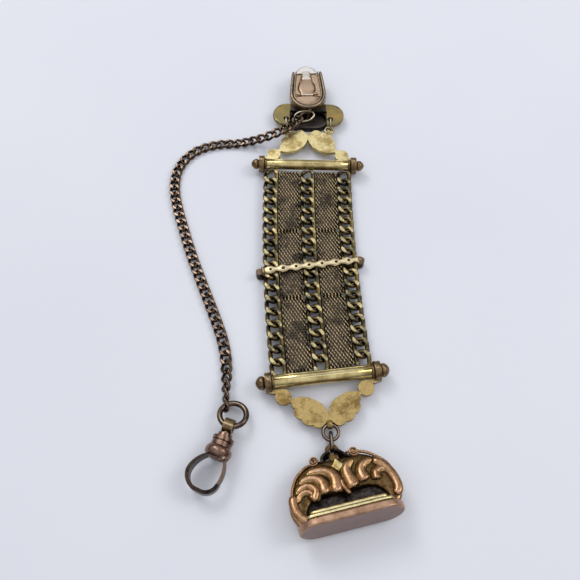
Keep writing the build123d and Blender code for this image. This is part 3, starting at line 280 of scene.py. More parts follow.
def metalFinish(name, spec):
    # tarnish patches by noise, black in the hollows by occlusion (part oxide, part painted shade), bright
    # where the face looks along the piece's own z or a given axis (part wear, part painted highlight), grain
    # as bump
    material = bpy.data.materials.new(name)
    material.use_nodes = True
    tree = material.node_tree
    tree.nodes.clear()
    coords = addNode(tree, "ShaderNodeTexCoord")
    place = {"Vector": coords.outputs["Object"]}
    patches = addNode(tree, "ShaderNodeTexNoise",
                      {"Scale": 1 / (spec["patch"] * mm), "Detail": 6.0, "Roughness": 0.62}, place)
    patchRamp = addNode(tree, "ShaderNodeMapRange", dict(zip(rangeKeys, spreads["patch"])),
                        {"Value": patches.outputs[0]})
    worn = addNode(tree, "ShaderNodeMix",
                   {"data_type": "RGBA", 6: toLinear(spec["base"]), 7: toLinear(spec["tarnish"])},
                   {0: patchRamp.outputs[0]})
    grain = addNode(tree, "ShaderNodeTexNoise",
                    {"Scale": 1 / (spec["grain"] * mm), "Detail": 3.0, "Roughness": 0.6}, place)
    # painted highlight, part worn flats: the bright colour goes where the face looks along z, towards the
    # lamps
    facing = addNode(tree, "ShaderNodeVectorMath",
                     {"operation": "DOT_PRODUCT", 1: spec.get("axis", (0, 0, 1))},
                     {0: coords.outputs["Normal"]})
    upward = addNode(tree, "ShaderNodeMath", {"operation": "ABSOLUTE"}, {0: facing.outputs["Value"]})
    facet = addNode(tree, "ShaderNodeMapRange", dict(zip(rangeKeys, spec["facet"] + (0.0, 1.0))),
                    {"Value": upward.outputs[0]})
    facetWorn = addNode(tree, "ShaderNodeMapRange", dict(zip(rangeKeys, spreads["facetWear"])),
                        {"Value": grain.outputs[0]})
    facetLeft = addNode(tree, "ShaderNodeMapRange",
                        dict(zip(rangeKeys, (0.0, 1.0, 1.0, 1.0 - spec.get("fade", 0.0)))),
                        {"Value": patchRamp.outputs[0]})
    facetWornAndLit = addNode(tree, "ShaderNodeMath", {"operation": "MULTIPLY"},
                         {0: facet.outputs[0], 1: facetWorn.outputs[0]})
    facetMask = addNode(tree, "ShaderNodeMath", {"operation": "MULTIPLY"},
                        {0: facetWornAndLit.outputs[0], 1: facetLeft.outputs[0]})
    wornAndHighlit = addNode(tree, "ShaderNodeMix", {"data_type": "RGBA", 7: toLinear(spec["bright"])},
                     {0: facetMask.outputs[0], 6: worn.outputs[2]})
    if "smear" in spec:
        # grime in patches a few millimetres wide, over the bright facets too
        smears = addNode(tree, "ShaderNodeTexNoise",
                         {"Scale": 1 / (texture["smearSize"] * mm), "Detail": 5.0, "Roughness": 0.7}, place)
        smearMask = addNode(tree, "ShaderNodeMapRange", dict(zip(rangeKeys, spreads["smear"])),
                            {"Value": smears.outputs[0]})
        wornAndHighlit = addNode(tree, "ShaderNodeMix", {"data_type": "RGBA", 7: toLinear(spec["smear"])},
                         {0: smearMask.outputs[0], 6: wornAndHighlit.outputs[2]})
    # black in the hollows by occlusion: part oxide, part painted shade
    hollow = addNode(tree, "ShaderNodeAmbientOcclusion",
                     {"samples": 6, "only_local": True, "Distance": spec["hollow"] * mm})
    hollowMask = addNode(tree, "ShaderNodeMapRange", dict(zip(rangeKeys, spreads["hollow"])),
                         {"Value": hollow.outputs["AO"]})
    colour = addNode(tree, "ShaderNodeMix", {"data_type": "RGBA", 7: toLinear(spec["hollowOxideAndShade"])},
                     {0: hollowMask.outputs[0], 6: wornAndHighlit.outputs[2]})
    roughRange = (texture["glossLow"], texture["glossHigh"], spec["roughness"] * texture["smooth"],
                  min(1.0, spec["roughness"] * texture["rough"]))
    rough = addNode(tree, "ShaderNodeMapRange", dict(zip(rangeKeys, roughRange)), {"Value": grain.outputs[0]})
    bump = addNode(tree, "ShaderNodeBump", {"Strength": spec["bump"], "Distance": texture["bumpDepth"] * mm},
                   {"Height": grain.outputs[0]})
    shader = addNode(tree, "ShaderNodeBsdfPrincipled", {"Metallic": 1.0},
                     {"Base Color": colour.outputs[2], "Roughness": rough.outputs[0],
                      "Normal": bump.outputs[0]})
    addNode(tree, "ShaderNodeOutputMaterial", links={"Surface": shader.outputs[0]})
    return material


metals = {name: metalFinish(name, spec) for name, spec in finishes.items()}
print("finishes made:", len(metals))

# Which finish each carried-over node gets
nodeFinish = {
    "chain_": "oxidisedBrass", "safety_chain_": "chainBronze", "top_bar_tube": "barBrass",
    "bottom_bar_tube": "barBrass", "top_bar_finials": "brownBrass", "bottom_bar_finials": "brownBrass",
    "top_bar_rod": "brownBrass", "bottom_bar_rod": "brownBrass", "top_hanger": "castBrass",
    "bottom_hanger": "castBrassDull", "slider_front_strip": "stripBrass",
    "slider_back_plate": "ringBronze", "slider_end_posts": "hookBronze", "crest_links": "barBrass",
    # the crest's stamped front, seen from behind: its hollow painted black as shade
    "crest_rings": "greyBrass", "crest_front": "shadeBlack", "crest_back_plate": "crestBrass",
    "clip_": "roseGold", "clip_front_jaw": "rimRose", "chain_eye": "brownBrass",
    "chain_ring_": "chainBronze", "swivel_ring": "ringBronze", "swivel_stem": "brownBrass",
    "swivel_barrel": "barrelRose", "snap_hook": "hookBronze", "snap_gate": "hookBronze",
    "gate_pin": "ringBronze", "bottom_jump_ring": "ringBronze", "seal_": "matteRose",
    "seal_eye": "oliveRose", "seal_bail": "ringBronze", "seal_platform": "oliveRose",
    "seal_base_plate": "sealFace", "mesh_": "meshBrass",
}
for nodeName, thing in nodes.items():
    best = max((key for key in nodeFinish if nodeName.startswith(key)), key=len)
    thing.data.materials.clear()
    thing.data.materials.append(metals[nodeFinish[best]])

# The strap's route, from the top bar to the bottom bar, as the CAD has it
strap = dict(topX=9.13, topY=28.58, length=55.0, tube=3.3, bend=8.0, startAngle=-1.5, rows=18, lift=1.5,
             width=22.4, linkWidth=3.6, meshGap=0.16, foldGap=0.3, meshThickness=1.1)
strapRun = strap["length"] + strap["tube"]
strapRadius = strapRun / math.radians(strap["bend"])
rowPitch = strap["length"] / strap["rows"]
meshWidth = (strap["width"] - 3 * strap["linkWidth"]) / 2 - 2 * strap["meshGap"]
meshOffset = (strap["width"] - strap["linkWidth"]) / 4


def strapPoints(along, across, height):
    # points on the bent strap: along from the top bar, across to the right, height from the table
    start = math.radians(strap["startAngle"])
    angle = np.radians(strap["startAngle"] + strap["bend"] * along / strapRun)
    x = strap["topX"] + strapRadius * (math.cos(start) - np.cos(angle)) + across * np.cos(angle)
    y = strap["topY"] - strapRadius * (np.sin(angle) - math.sin(start)) + across * np.sin(angle)
    return np.stack([x, y, height + 0 * x], -1)


def tubeGrid(path, radius, sides=6, closed=False, flat=1.0):
    # a round tube carried along each path: path (..., n, 3), radius scalar or (..., n, 1)
    path = np.asarray(path, float)
    if closed:
        tangent = np.roll(path, -1, -2) - np.roll(path, 1, -2)
    else:
        tangent = np.gradient(path, axis=-2)
    tangent = tangent / np.linalg.norm(tangent, axis=-1, keepdims=True)
    up = np.zeros_like(tangent)
    up[..., 2] = 1
    side = np.cross(tangent, up)
    short = np.linalg.norm(side, axis=-1, keepdims=True) < 1e-3
    side = np.where(short, np.array([1.0, 0, 0]), side)
    side = side / np.linalg.norm(side, axis=-1, keepdims=True)
    over = np.cross(side, tangent)
    turn = np.linspace(0, 2 * np.pi, sides, endpoint=False)
    ringSide = np.cos(turn)[:, None] * side[..., None, :]
    ringOver = np.sin(turn)[:, None] * over[..., None, :] * flat
    return path[..., None, :] + np.asarray(radius)[..., None] * (ringSide + ringOver)


def tubeFaces(count, steps, sides, closed=False):
    # quads round and along each tube; its ends close by rings drawn in to a point
    base = np.arange(count)[:, None, None] * (steps * sides)
    last = steps if closed else steps - 1
    i = np.arange(last)[None, :, None]
    j = np.arange(sides)[None, None, :]
    nextI = (i + 1) % steps
    nextJ = (j + 1) % sides
    a = base + i * sides + j
    b = base + i * sides + nextJ
    c = base + nextI * sides + nextJ
    d = base + nextI * sides + j
    return np.stack([a, b, c, d], -1).reshape(-1, 4)


wovenMesh = dict(wire=0.36, coilPitch=0.78, rowPitch=0.66, coilLength=1.30, coilSteps=12, sides=5,
                 core=0.22, coreSteps=41, coreSides=20, margin=0.2, lap=0.45)


def wovenPanel(name, along0, along1, side, body):
    # flat spiral wires across the panel, each row's coils between those of the next
    w = wovenMesh
    halfCoil = w["coilLength"] / 2 - w["wire"] / 2
    halfThick = (strap["meshThickness"] - w["wire"]) / 2
    rowCount = int((along1 - along0 - 2 * halfCoil - w["wire"]) / w["rowPitch"]) + 1
    rowAlong = np.linspace(along0 + halfCoil + w["wire"] / 2, along1 - halfCoil - w["wire"] / 2, rowCount)
    coils = meshWidth / w["coilPitch"] - 0.5
    steps = int(coils * w["coilSteps"]) + 1
    turn = np.linspace(0, coils * 2 * np.pi, steps)
    stagger = (np.arange(rowCount) % 2) * 0.5 * w["coilPitch"]
    along = rowAlong[:, None] + halfCoil * np.cos(turn)[None, :]
    wide = coils * w["coilPitch"]
    across = side * meshOffset + wide / 2 - w["coilPitch"] * turn[None, :] / (2 * np.pi) \
        + (stagger[:, None] - w["coilPitch"] * 0.25)
    height = strap["lift"] + halfThick * np.sin(turn)[None, :] + 0 * along
    path = strapPoints(along, across, height)
    ends = np.ones((rowCount, steps, 1)) * w["wire"] / 2
    ends[:, 0] *= 0.2
    ends[:, -1] *= 0.2
    verts = tubeGrid(path, ends, w["sides"])
    faces = tubeFaces(rowCount, steps, w["sides"])
    return meshObject(name, verts.reshape(-1, 3), faces, body, metals["meshBrass"])


def wovenShadeCore(name, along0, along1, side, body):
    # painted shade: a black flat oval inside the coils, carried along the panel
    w = wovenMesh
    turn = np.linspace(0, 2 * np.pi, w["coreSides"], endpoint=False)
    share = np.linspace(0, 1, w["coreSteps"])
    fill = np.sqrt(np.clip(1 - (2 * share - 1) ** 24, 0, 1))[:, None]
    along = (along0 + w["margin"] + (along1 - along0 - 2 * w["margin"]) * share)[:, None] + 0 * turn[None, :]
    across = side * meshOffset + fill * (meshWidth / 2 - w["margin"]) * roundPower(np.cos(turn), 0.3)[None, :]
    height = strap["lift"] + fill * w["core"] * roundPower(np.sin(turn), 0.6)[None, :]
    flat = strapPoints(along, across, 0.0)
    flat[..., 2] = height
    faces = tubeFaces(1, w["coreSteps"], w["coreSides"])
    core = meshObject(name, flat.reshape(-1, 3), faces, body, metals["shadeBlack"])
    weld(core)
    return core


sectionRows = {"upper": (0, 6), "middle": (6, 12), "lower": (12, 18)}
for section, (first, last) in sectionRows.items():
    start = strap["tube"] / 2 + first * rowPitch + strap["foldGap"] / 2
    end = strap["tube"] / 2 + last * rowPitch - strap["foldGap"] / 2
    start = strap["tube"] * 0.45 if first == 0 else start - wovenMesh["lap"]
    end = strapRun - strap["tube"] * 0.45 if last == strap["rows"] else end + wovenMesh["lap"]
    for sideName, side in (("left", -1), ("right", 1)):
        panel = wovenPanel(f"wovenMesh_{section}_{sideName}", start, end, side, f"strap_{section}")
        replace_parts(panel, f"mesh_{section}_{sideName}")
        # a black core inside each panel: painted shade behind the coils
        wovenShadeCore(f"wovenShadeCore_{section}_{sideName}", start, end, side, f"strap_{section}")
print("woven mesh made")

# Bars: turned ball ends and ears, a brown collar at each end and two drawn ridges along the tube
barEnds = dict(earOuter=12.55, ridge=0.17, ridgeTurns=(52, 88), collar=0.26, collarInset=0.22, half=11.1,
               tube=dict(top=1.30, bottom=1.55), chamfer=0.05, ballSteps=45, ballSides=32,
               ballScale=dict(top=0.92, bottom=1.10),
               profile=((0.0, 0.0), (0.0, 0.95), (0.10, 1.10), (0.40, 1.33), (0.75, 1.42), (1.15, 1.35),
                        (1.55, 1.08), (1.85, 0.72), (2.03, 0.38), (2.10, 0.0)),
               ear=((11.2, 0), (11.2, 1.95), (11.35, 2.18), (11.62, 2.18), (11.75, 2.0), (11.9, 1.96),
                    (12.0, 2.15), (12.35, 2.15), (12.5, 1.9), (12.58, 1.2), (12.58, 0)))
barPlaces = {
    "top": dict(origin=(9.13, 28.58, 2.5), x=(0.99966, -0.02618, 0), y=(0.02618, 0.99966, 0), z=(0, 0, 1)),
    "bottom": dict(origin=(11.6709, -29.6172, 2.5), x=(-0.99357, -0.1132, 0), y=(0.1132, -0.99357, 0),
                   z=(0, 0, 1)),
}


def turnedEnds(name, place):
    # both balls of a bar: the profile's radius at each distance, turned about the bar
    steps, sides = barEnds["ballSteps"], barEnds["ballSides"]
    line = smoothLine(barEnds["profile"], steps)
    line[:, 1] *= barEnds["ballScale"]["top" if name.startswith("top") else "bottom"]
    turn = np.linspace(0, 2 * np.pi, sides, endpoint=False)
    verts = []
    for hand in (-1, 1):
        out = hand * (barEnds["earOuter"] + line[:, :1]) + 0 * turn[None, :]
        radius = np.clip(line[:, 1:], 0, None)
        verts.append(onFrame(place, out, radius * np.cos(turn), radius * np.sin(turn)).reshape(-1, 3))
    body = "top_hanger" if name.startswith("top") else "bottom_hanger"
    faces = tubeFaces(2, steps, sides)
    ends = meshObject(name, np.concatenate(verts), faces, body, metals["brownBrass"])
    weld(ends)
    return ends


def turnedPiece(name, place, profile, body, finish, steps=40):
    # a profile of distance and radius turned about the bar, closed where the radius is zero
    line = np.asarray(profile, float)
    turn = np.linspace(0, 2 * np.pi, steps, endpoint=False)
    grid = onFrame(place, line[:, :1] + 0 * turn, line[:, 1:] * np.cos(turn), line[:, 1:] * np.sin(turn))
    faces = tubeFaces(1, len(line), steps)
    turned = meshObject(name, grid.reshape(-1, 3), faces, body, metals[finish])
    weld(turned)
    return turned


def barTrim(name, place, body):
    # the drawn tube, the hanger's ears round its ends, two ridges along it and a collar at each end
    chamfer = barEnds["chamfer"]
    out = barEnds["half"] + chamfer
    drawn = barEnds["tube"][name]
    profile = ((-out, 0), (-out, drawn - chamfer), (-out + chamfer, drawn), (-4, drawn), (4, drawn),
               (out - chamfer, drawn), (out, drawn - chamfer), (out, 0))
    tube = turnedPiece(f"{name}_bar_drawn", place, profile, body, "barBrass", 48)
    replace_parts(tube, f"{name}_bar_tube")
    for number, hand in enumerate((-1, 1)):
        ear = np.array(barEnds["ear"]) * (hand, 1)
        turnedPiece(f"{name}_bar_ear_{number}", place, ear, f"{name}_hanger", "brownBrass")
    share = np.linspace(-1, 1, 5)[:, None]
    turn = np.linspace(0, 2 * np.pi, 8, endpoint=False)
    for number, degrees in enumerate(barEnds["ridgeTurns"]):
        lean = math.radians(degrees)
        away = drawn - chamfer + barEnds["ridge"] * np.cos(turn)
        beside = barEnds["ridge"] * np.sin(turn)
        back = -1 if name == "bottom" else 1
        along = back * (away * math.cos(lean) - beside * math.sin(lean))
        up = away * math.sin(lean) + beside * math.cos(lean)
        grid = onFrame(place, barEnds["half"] * share + 0 * turn, along + 0 * share, up + 0 * share)
        first, last = (np.repeat(end.mean(1, keepdims=True), 8, 1) for end in (grid[:1], grid[-1:]))
        verts = np.concatenate([first, grid, last]).reshape(-1, 3)
        ridge = meshObject(f"{name}_bar_ridge_{number}", verts, tubeFaces(1, 7, 8), body,
                           metals["barBrass"])
        weld(ridge)
    about = np.linspace(0, 2 * np.pi, 40, endpoint=False)[:, None]
    section = np.linspace(0, 2 * np.pi, 10, endpoint=False)[None, :]
    for number, hand in enumerate((-1, 1)):
        radius = drawn - 0.02 + barEnds["collar"] * np.cos(section) + 0 * about
        middle = hand * (barEnds["half"] - barEnds["collarInset"])
        out = middle + barEnds["collar"] * np.sin(section) + 0 * about
        grid = onFrame(place, out, radius * np.cos(about), radius * np.sin(about))
        faces = tubeFaces(1, 40, 10, closed=True)
        collar = meshObject(f"{name}_bar_collar_{number}", grid.reshape(-1, 3), faces, body,
                            metals["brownBrass"])
        weld(collar)


for barName, body in (("top", "strap_upper"), ("bottom", "strap_lower")):
    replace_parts(turnedEnds(f"{barName}_ball_ends", barPlaces[barName]), f"{barName}_bar_finials")
    barTrim(barName, barPlaces[barName], body)
print("bars made")

# Hangers and the crest's back plate, with their stamped edges rounded
clipPlace = dict(origin=(10.1011, 28.58, 0), x=(0.99966, 0.02618, 0), y=(-0.02618, 0.99966, 0), z=(0, 0, 1))


def placeReach(place, points, axis):
    # how far points in metres lie from a place's origin along one of its axes, in mm
    return (points / mm - np.asarray(place["origin"], float)) @ np.asarray(place[axis], float)


def cutAcross(thing, place, half):
    # edges where the piece crosses two planes, half to each side of a place's origin
    shell = bmesh.new()
    shell.from_mesh(thing.data)
    for hand in (-1, 1):
        spot = np.array(place["origin"], float) + hand * half * np.array(place["x"], float)
        bmesh.ops.bisect_plane(shell, geom=shell.verts[:] + shell.edges[:] + shell.faces[:], dist=1e-7,
                               plane_co=tuple(spot * mm), plane_no=place["x"])
    shell.to_mesh(thing.data)
    shell.free()


def faceReach(thing, place):
    # how far each face's middle lies from a place's origin along its x, in mm
    centres = np.empty(len(thing.data.polygons) * 3)
    thing.data.polygons.foreach_get("center", centres)
    return np.abs(placeReach(place, centres.reshape(-1, 3), "x"))


def earFinish(thing, place, beyond, squeeze):
    # the lugs round a bar turn brown, and are filed down towards its line
    cutAcross(thing, place, beyond)
    points = np.empty(len(thing.data.vertices) * 3)
    thing.data.vertices.foreach_get("co", points)
    points = points.reshape(-1, 3)
    out = placeReach(place, points, "x")
    outer = np.abs(out) > beyond + 0.02
    axisLine = (np.array(place["origin"], float) + out[:, None] * np.array(place["x"], float)) * mm
    points[outer] = axisLine[outer] + (points - axisLine)[outer] * squeeze
    thing.data.vertices.foreach_set("co", points.ravel())
    thing.data.update()
    thing.data.materials.append(metals["brownBrass"])
    lugs = faceReach(thing, place) > beyond - 0.05
    thing.data.polygons.foreach_set("material_index", lugs.astype(np.int32))


def hollowShadeFinish(thing, place, half):
    # painted shade: the plate shows black between its ears, where the stamped front stands off it
    cutAcross(thing, place, half)
    thing.data.materials.append(metals["shadeBlack"])
    hollow = faceReach(thing, place) < half
    thing.data.polygons.foreach_set("material_index", hollow.astype(np.int32))


# edge radius, body and slot of each; where the lugs begin, how far they are filed, half the black
rounding = {
    "top_hanger": (0.20, "top_hanger", "yellow_brass"),
    "bottom_hanger": (0.20, "bottom_hanger", "yellow_brass"),
    "crest_back_plate": (0.10, "crest", "aged_brass"),
}
stampedEnds = dict(lugs=11.12, filed=0.86, black=4.9)
for source, (width, body, slotName) in rounding.items():
    stamped = roundedCopy(f"{source}_rounded", source, width)
    if source.endswith("hanger"):
        earFinish(stamped, barPlaces[source.split("_")[0]], stampedEnds["lugs"], stampedEnds["filed"])
    if source == "crest_back_plate":
        hollowShadeFinish(stamped, clipPlace, stampedEnds["black"])
    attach(stamped, body)
    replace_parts(stamped, source)
print("stamped plates made")

# Slider's front strip: beads stamped side by side, a pit between them, ends rolled over
sliderPlace = dict(origin=(9.4338, -1.6619, 0), x=(0.9911, 0.13314, 0), y=(-0.13314, 0.9911, 0), z=(0, 0, 1))
slider = dict(left=-11.3, right=11.6, half=0.85, wave=0.28, pitch=3.1, crown=-0.36, lift=2.60, thick=0.26,
              pits=(-9.56, -6.53, -3.46, -0.36, 2.76, 6.17, 9.2), pit=0.36, ball=0.98, ballOut=0.35,
              ballLift=2.05, roll=0.52, rollReach=0.95, rollLift=2.45)
sliderAlong = np.linspace(slider["left"], slider["right"], 161)
sliderWave = np.cos(2 * np.pi * (sliderAlong - slider["crown"]) / slider["pitch"])
sliderHalf = slider["half"] + slider["wave"] * sliderWave
sliderSwell = slider["thick"] * (0.88 + 0.12 * sliderWave)
sliderStrip = pillow("slider_beaded_strip", sliderPlace, np.stack([sliderAlong, -sliderHalf], 1),
                     np.stack([sliderAlong, sliderHalf], 1), sliderSwell, slider["lift"], "slider",
                     "stripBrass", square=2.8, sides=24)
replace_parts(sliderStrip, "slider_front_strip")


def pitDisc(name, place, across, along, top, radius, body, finish):
    # a dark pit: a low round button whose radius falls off as a circle does
    turn = np.linspace(0, 2 * np.pi, 20, endpoint=False)
    reach = radius * np.array([0, 1, 1, 0.85, 0])[:, None]
    height = top + np.array([-0.1, -0.1, 0, 0.02, 0.02])[:, None] + 0 * turn
    grid = onFrame(place, across + reach * np.cos(turn), along + reach * np.sin(turn), height)
    disc = meshObject(name, grid.reshape(-1, 3), tubeFaces(1, 5, 20), body, metals[finish])
    weld(disc)


pitTop = slider["lift"] + slider["thick"] * 0.985
for number, across in enumerate(slider["pits"]):
    # the second pit is larger and gets the black of painted shade; the others dark brown
    size, finish = (1.25, "shadeBlack") if number == 1 else (1.0, "pitBrown")
    pitDisc(f"slider_pit_{number}", sliderPlace, across, 0.0, pitTop, slider["pit"] * size, "slider", finish)
roll = np.linspace(-slider["rollReach"], slider["rollReach"], 15)
rollHalf = slider["roll"] * np.sqrt(np.clip(1 - (roll / 0.96) ** 8, 0.05, 1))
straightBand("slider_rolled_end", sliderPlace, slider["left"], rollHalf, roll, rollHalf, slider["rollLift"],
             "slider", "brownBrass", sides=18)
knob = np.linspace(0, np.pi, 17)
turn = np.linspace(0, 2 * np.pi, 28, endpoint=False)
knobOut = slider["right"] + slider["ballOut"] - slider["ball"] * np.cos(knob)[:, None] + 0 * turn
knobReach = slider["ball"] * np.sin(knob)[:, None]
knobLift = slider["ballLift"] + knobReach * np.sin(turn)
knobGrid = onFrame(sliderPlace, knobOut, knobReach * np.cos(turn), knobLift)
weld(meshObject("slider_knob", knobGrid.reshape(-1, 3), tubeFaces(1, 17, 28), "slider",
                metals["brownBrass"]))
print("slider made")

# Safety chain and the rings: the same links, drawn from fuller wire so that they close up
fullerWire = {
    "safety_chain_": (0.09, "chain_", "oxidised_brass"),
    "bottom_jump_ring": (0.10, "bottom_ring", "yellow_brass"),
    "seal_bail": (0.10, "bail", "yellow_brass"),
    "swivel_ring": (0.08, "swivel_ring", "oxidised_brass"),
}


def swelledCopy(name, source, grow, body):
    # the CAD piece with its surface moved outwards by grow
    thing = bpy.data.objects.new(name, nodes[source].data.copy())
    scene.collection.objects.link(thing)
    weld(thing, 0.001)
    swell = thing.modifiers.new("swell", "DISPLACE")
    swell.strength = grow * mm
    swell.mid_level = 0.0
    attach(thing, body)
    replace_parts(thing, source)


for source in list(nodes):
    for start, (grow, body, slotName) in fullerWire.items():
        if source.startswith(start):
            swelledCopy(f"{source}_full", source, grow, source.replace(start, body))

# Large ring of the safety chain: an oval that lies on the crest and slopes down from its eye
ovalRing = dict(centre=(8.45, 45.08), long=2.70, short=1.35, turn=8, wire=0.29, high=3.5, top=46.4, drop=0.4)
ovalTurn = np.linspace(0, 2 * np.pi, 72, endpoint=False)
ovalLong, ovalShort = ovalRing["long"] * np.cos(ovalTurn), ovalRing["short"] * np.sin(ovalTurn)
lean = math.radians(ovalRing["turn"])
ovalX = ovalRing["centre"][0] + ovalLong * math.cos(lean) - ovalShort * math.sin(lean)
ovalY = ovalRing["centre"][1] + ovalLong * math.sin(lean) + ovalShort * math.cos(lean)
ovalPath = np.stack([ovalX, ovalY, ovalRing["high"] - ovalRing["drop"] * (ovalRing["top"] - ovalY)], -1)
ovalGrid = tubeGrid(ovalPath, ovalRing["wire"], 12, closed=True)
oval = meshObject("chain_ring_oval", ovalGrid.reshape(-1, 3), tubeFaces(1, 72, 12, closed=True),
                  "chain_ring_large", metals["greyBrass"])
weld(oval)
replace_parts(oval, "chain_ring_large")
print("rings made")

# Strap chains: the links filed and worn until they close on one another
chainSwell = dict(grow=0.15)
for source in list(nodes):
    if source.startswith(("chain_upper_", "chain_middle_", "chain_lower_")):
        section = source.split("_")[1]
        swelledCopy(f"{source}_worn", source, chainSwell["grow"], f"strap_{section}")
print("strap chains made")

# Vest clip: rolled rim round a bowl, a vase-shaped lever with a thumb pad and a polished tip
clip = dict(low=17.75, middle=23.2, top=31.5, half=4.95, throat=4.15, rim=0.42, innerRim=0.27,
            innerInset=0.88, rimLift=4.72, wallLow=3.0, deckLift=4.42, deckThick=0.16, slot=0.28, shift=-0.22,
            vase=((31.3, 1.22), (30.2, 1.18), (29.1, 1.22), (28.2, 1.42), (27.2, 1.78), (26.2, 2.06),
                  (25.3, 2.16), (24.5, 2.02), (23.8, 1.76), (23.2, 1.62), (22.5, 1.62)),
            leverLift=4.50, leverThick=0.26, pad=3.45, padTop=21.85, padLow=18.85, padThick=0.34,
            padLift=4.62, tip=2.95, tipLift=4.15, tipThick=0.30, tipStart=31.25, tipEnd=33.9,
            eyeAlong=19.6, eyeLift=4.4, knuckle=(1.75, 3.1), knuckleAlong=23.0, knuckleLift=4.66,
            bands=((28.65, 1.26), (22.75, 1.75)), bandLift=4.72, neck=(31.6, 28.85))


def clipOutline(inset, count=81):
    # U of the clip's bowl, from the left side of its throat to the right
    half, throat = clip["half"] - inset, clip["throat"] - inset
    turn = np.linspace(math.pi, 2 * math.pi, count)
    depth = clip["middle"] - clip["low"] - inset
    bowl = np.stack([half * np.cos(turn), clip["middle"] + depth * np.sin(turn)], 1)
    rise = np.linspace(clip["top"], clip["middle"], 24)[:-1]
    share = (rise - clip["middle"]) / (clip["top"] - clip["middle"])
    side = half + (throat - half) * share ** 1.3
    return np.concatenate([np.stack([-side, rise], 1), bowl, np.stack([side, rise], 1)[::-1]])


def clipPiece(name, line, halfWidth, thick, lift, finish, square=2.0, sides=14, body="crest"):
    # a band of the clip along a line
    left, right = sidesOf(line, halfWidth)
    return pillow(name, clipPlace, left, right, thick, lift, body, finish, square, sides)


rimLine = clipOutline(clip["rim"])
closing = np.ones(len(rimLine))
closing[:4] = (0.35, 0.7, 0.9, 1.0)
closing[-4:] = closing[:4][::-1]
rimHalf = clip["rim"] * closing
rim = clipPiece("clip_rim_outer", rimLine, rimHalf, rimHalf, clip["rimLift"], "rimRose")
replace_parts(rim, "clip_housing")
innerHalf = clip["innerRim"] * closing
clipPiece("clip_rim_inner", clipOutline(clip["innerInset"] + 0.3), innerHalf, innerHalf,
          clip["rimLift"] + 0.05, "rimRose", sides=12)
# the wall hangs from the rim, and stays short where it passes over the chain's eye
overEye = rimLine[:, 1] < clip["eyeAlong"]
wallLift = np.where(overEye, clip["eyeLift"], (clip["wallLow"] + clip["rimLift"]) / 2)
wallThick = np.where(overEye, 0.25, (clip["rimLift"] - clip["wallLow"]) / 2)
for _ in range(6):
    wallLift[1:-1] = (wallLift[:-2] + wallLift[1:-1] + wallLift[2:]) / 3
    wallThick[1:-1] = (wallThick[:-2] + wallThick[1:-1] + wallThick[2:]) / 3
clipPiece("clip_wall", rimLine, 0.30, wallThick, wallLift, "rimRose", square=6, sides=16)

vase = smoothLine(clip["vase"], 61)
vaseAlong, vaseHalf = vase[:, 0], vase[:, 1]
shift = clip["shift"]
for sideName, hand in (("left", -1), ("right", 1)):
    edge = np.stack([shift + hand * (vaseHalf + clip["slot"]), vaseAlong], 1)
    share = np.clip((vaseAlong - clip["middle"]) / (clip["top"] - clip["middle"]), 0, 1)
    outer = clip["half"] + (clip["throat"] - clip["half"]) * share ** 1.3 - clip["innerInset"] - 0.1
    wall = np.stack([hand * outer, vaseAlong - 0.35], 1)
    pillow(f"clip_deck_{sideName}", clipPlace, edge[4:], wall[4:], clip["deckThick"], clip["deckLift"],
           "crest", "roseGold", square=6, sides=16)
    near, far = clip["knuckle"]
    knuckle = np.linspace(shift + hand * near, shift + hand * far, 12)
    knuckle = np.stack([knuckle, np.full(12, clip["knuckleAlong"])], 1)
    swell = np.sqrt(np.clip(1 - np.linspace(-1, 1, 12) ** 8, 0.02, 1))
    swell = swell * (1 + 0.18 * np.cos(np.linspace(0, 6 * np.pi, 12)))
    clipPiece(f"clip_knuckle_{sideName}", knuckle, 0.40 * swell, 0.36 * swell, clip["knuckleLift"],
              "roseGold")


def leverBand(name, half, along, thick, lift, finish, middle=clip["shift"], square=4, sides=28):
    # a part of the lever: half its width at each distance along the clip
    return straightBand(name, clipPlace, middle, half, along, thick, lift, "clip_lever", finish,
                        square, sides)


# the lever swells over the deck and falls towards its tip
fall = np.clip((vaseAlong - 28.6) / 2.4, 0, 1)
belly = 0.12 * np.sin(np.pi * np.clip((vaseAlong - 22.5) / 6, 0, 1))
leverLift = clip["leverLift"] + (clip["tipLift"] + 0.15 - clip["leverLift"]) * fall ** 1.5 + belly
lever = leverBand("clip_lever_vase", vaseHalf, vaseAlong, clip["leverThick"], leverLift, "roseGold",
                  square=5, sides=24)
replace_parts(lever, "clip_lever")
# pale bands across the lever, nearly white: part polish, part painted highlight
for number, (along, halfWidth) in enumerate(clip["bands"]):
    across = np.linspace(shift - halfWidth, shift + halfWidth, 9)
    bow = np.stack([across, along + 0.10 * np.linspace(-1, 1, 9) ** 2], 1)
    clipPiece(f"clip_lever_band_{number}", bow, 0.20, 0.16, clip["bandLift"], "polishAndHighlight", sides=12,
              body="clip_lever")
padAlong = np.linspace(clip["padTop"], clip["padLow"], 33)
padShare = (clip["padTop"] - padAlong) / (clip["padTop"] - clip["padLow"])
padHalf = clip["pad"] * np.sqrt(np.clip(1 - np.clip(padShare, 0, 1) ** 2.2, 0.0, 1))
padHalf[-1] = 0.25
crown = clip["padThick"] * np.sqrt(np.clip(padHalf / clip["pad"], 0.15, 1))
leverBand("clip_thumb_pad", padHalf, padAlong, crown, clip["padLift"], "roseGold", square=2.6)
leverBand("clip_lever_root", np.array([1.5, 1.6]), np.array([22.9, 21.7]), 0.2, 4.45, "roseGold",
          square=5, sides=14)
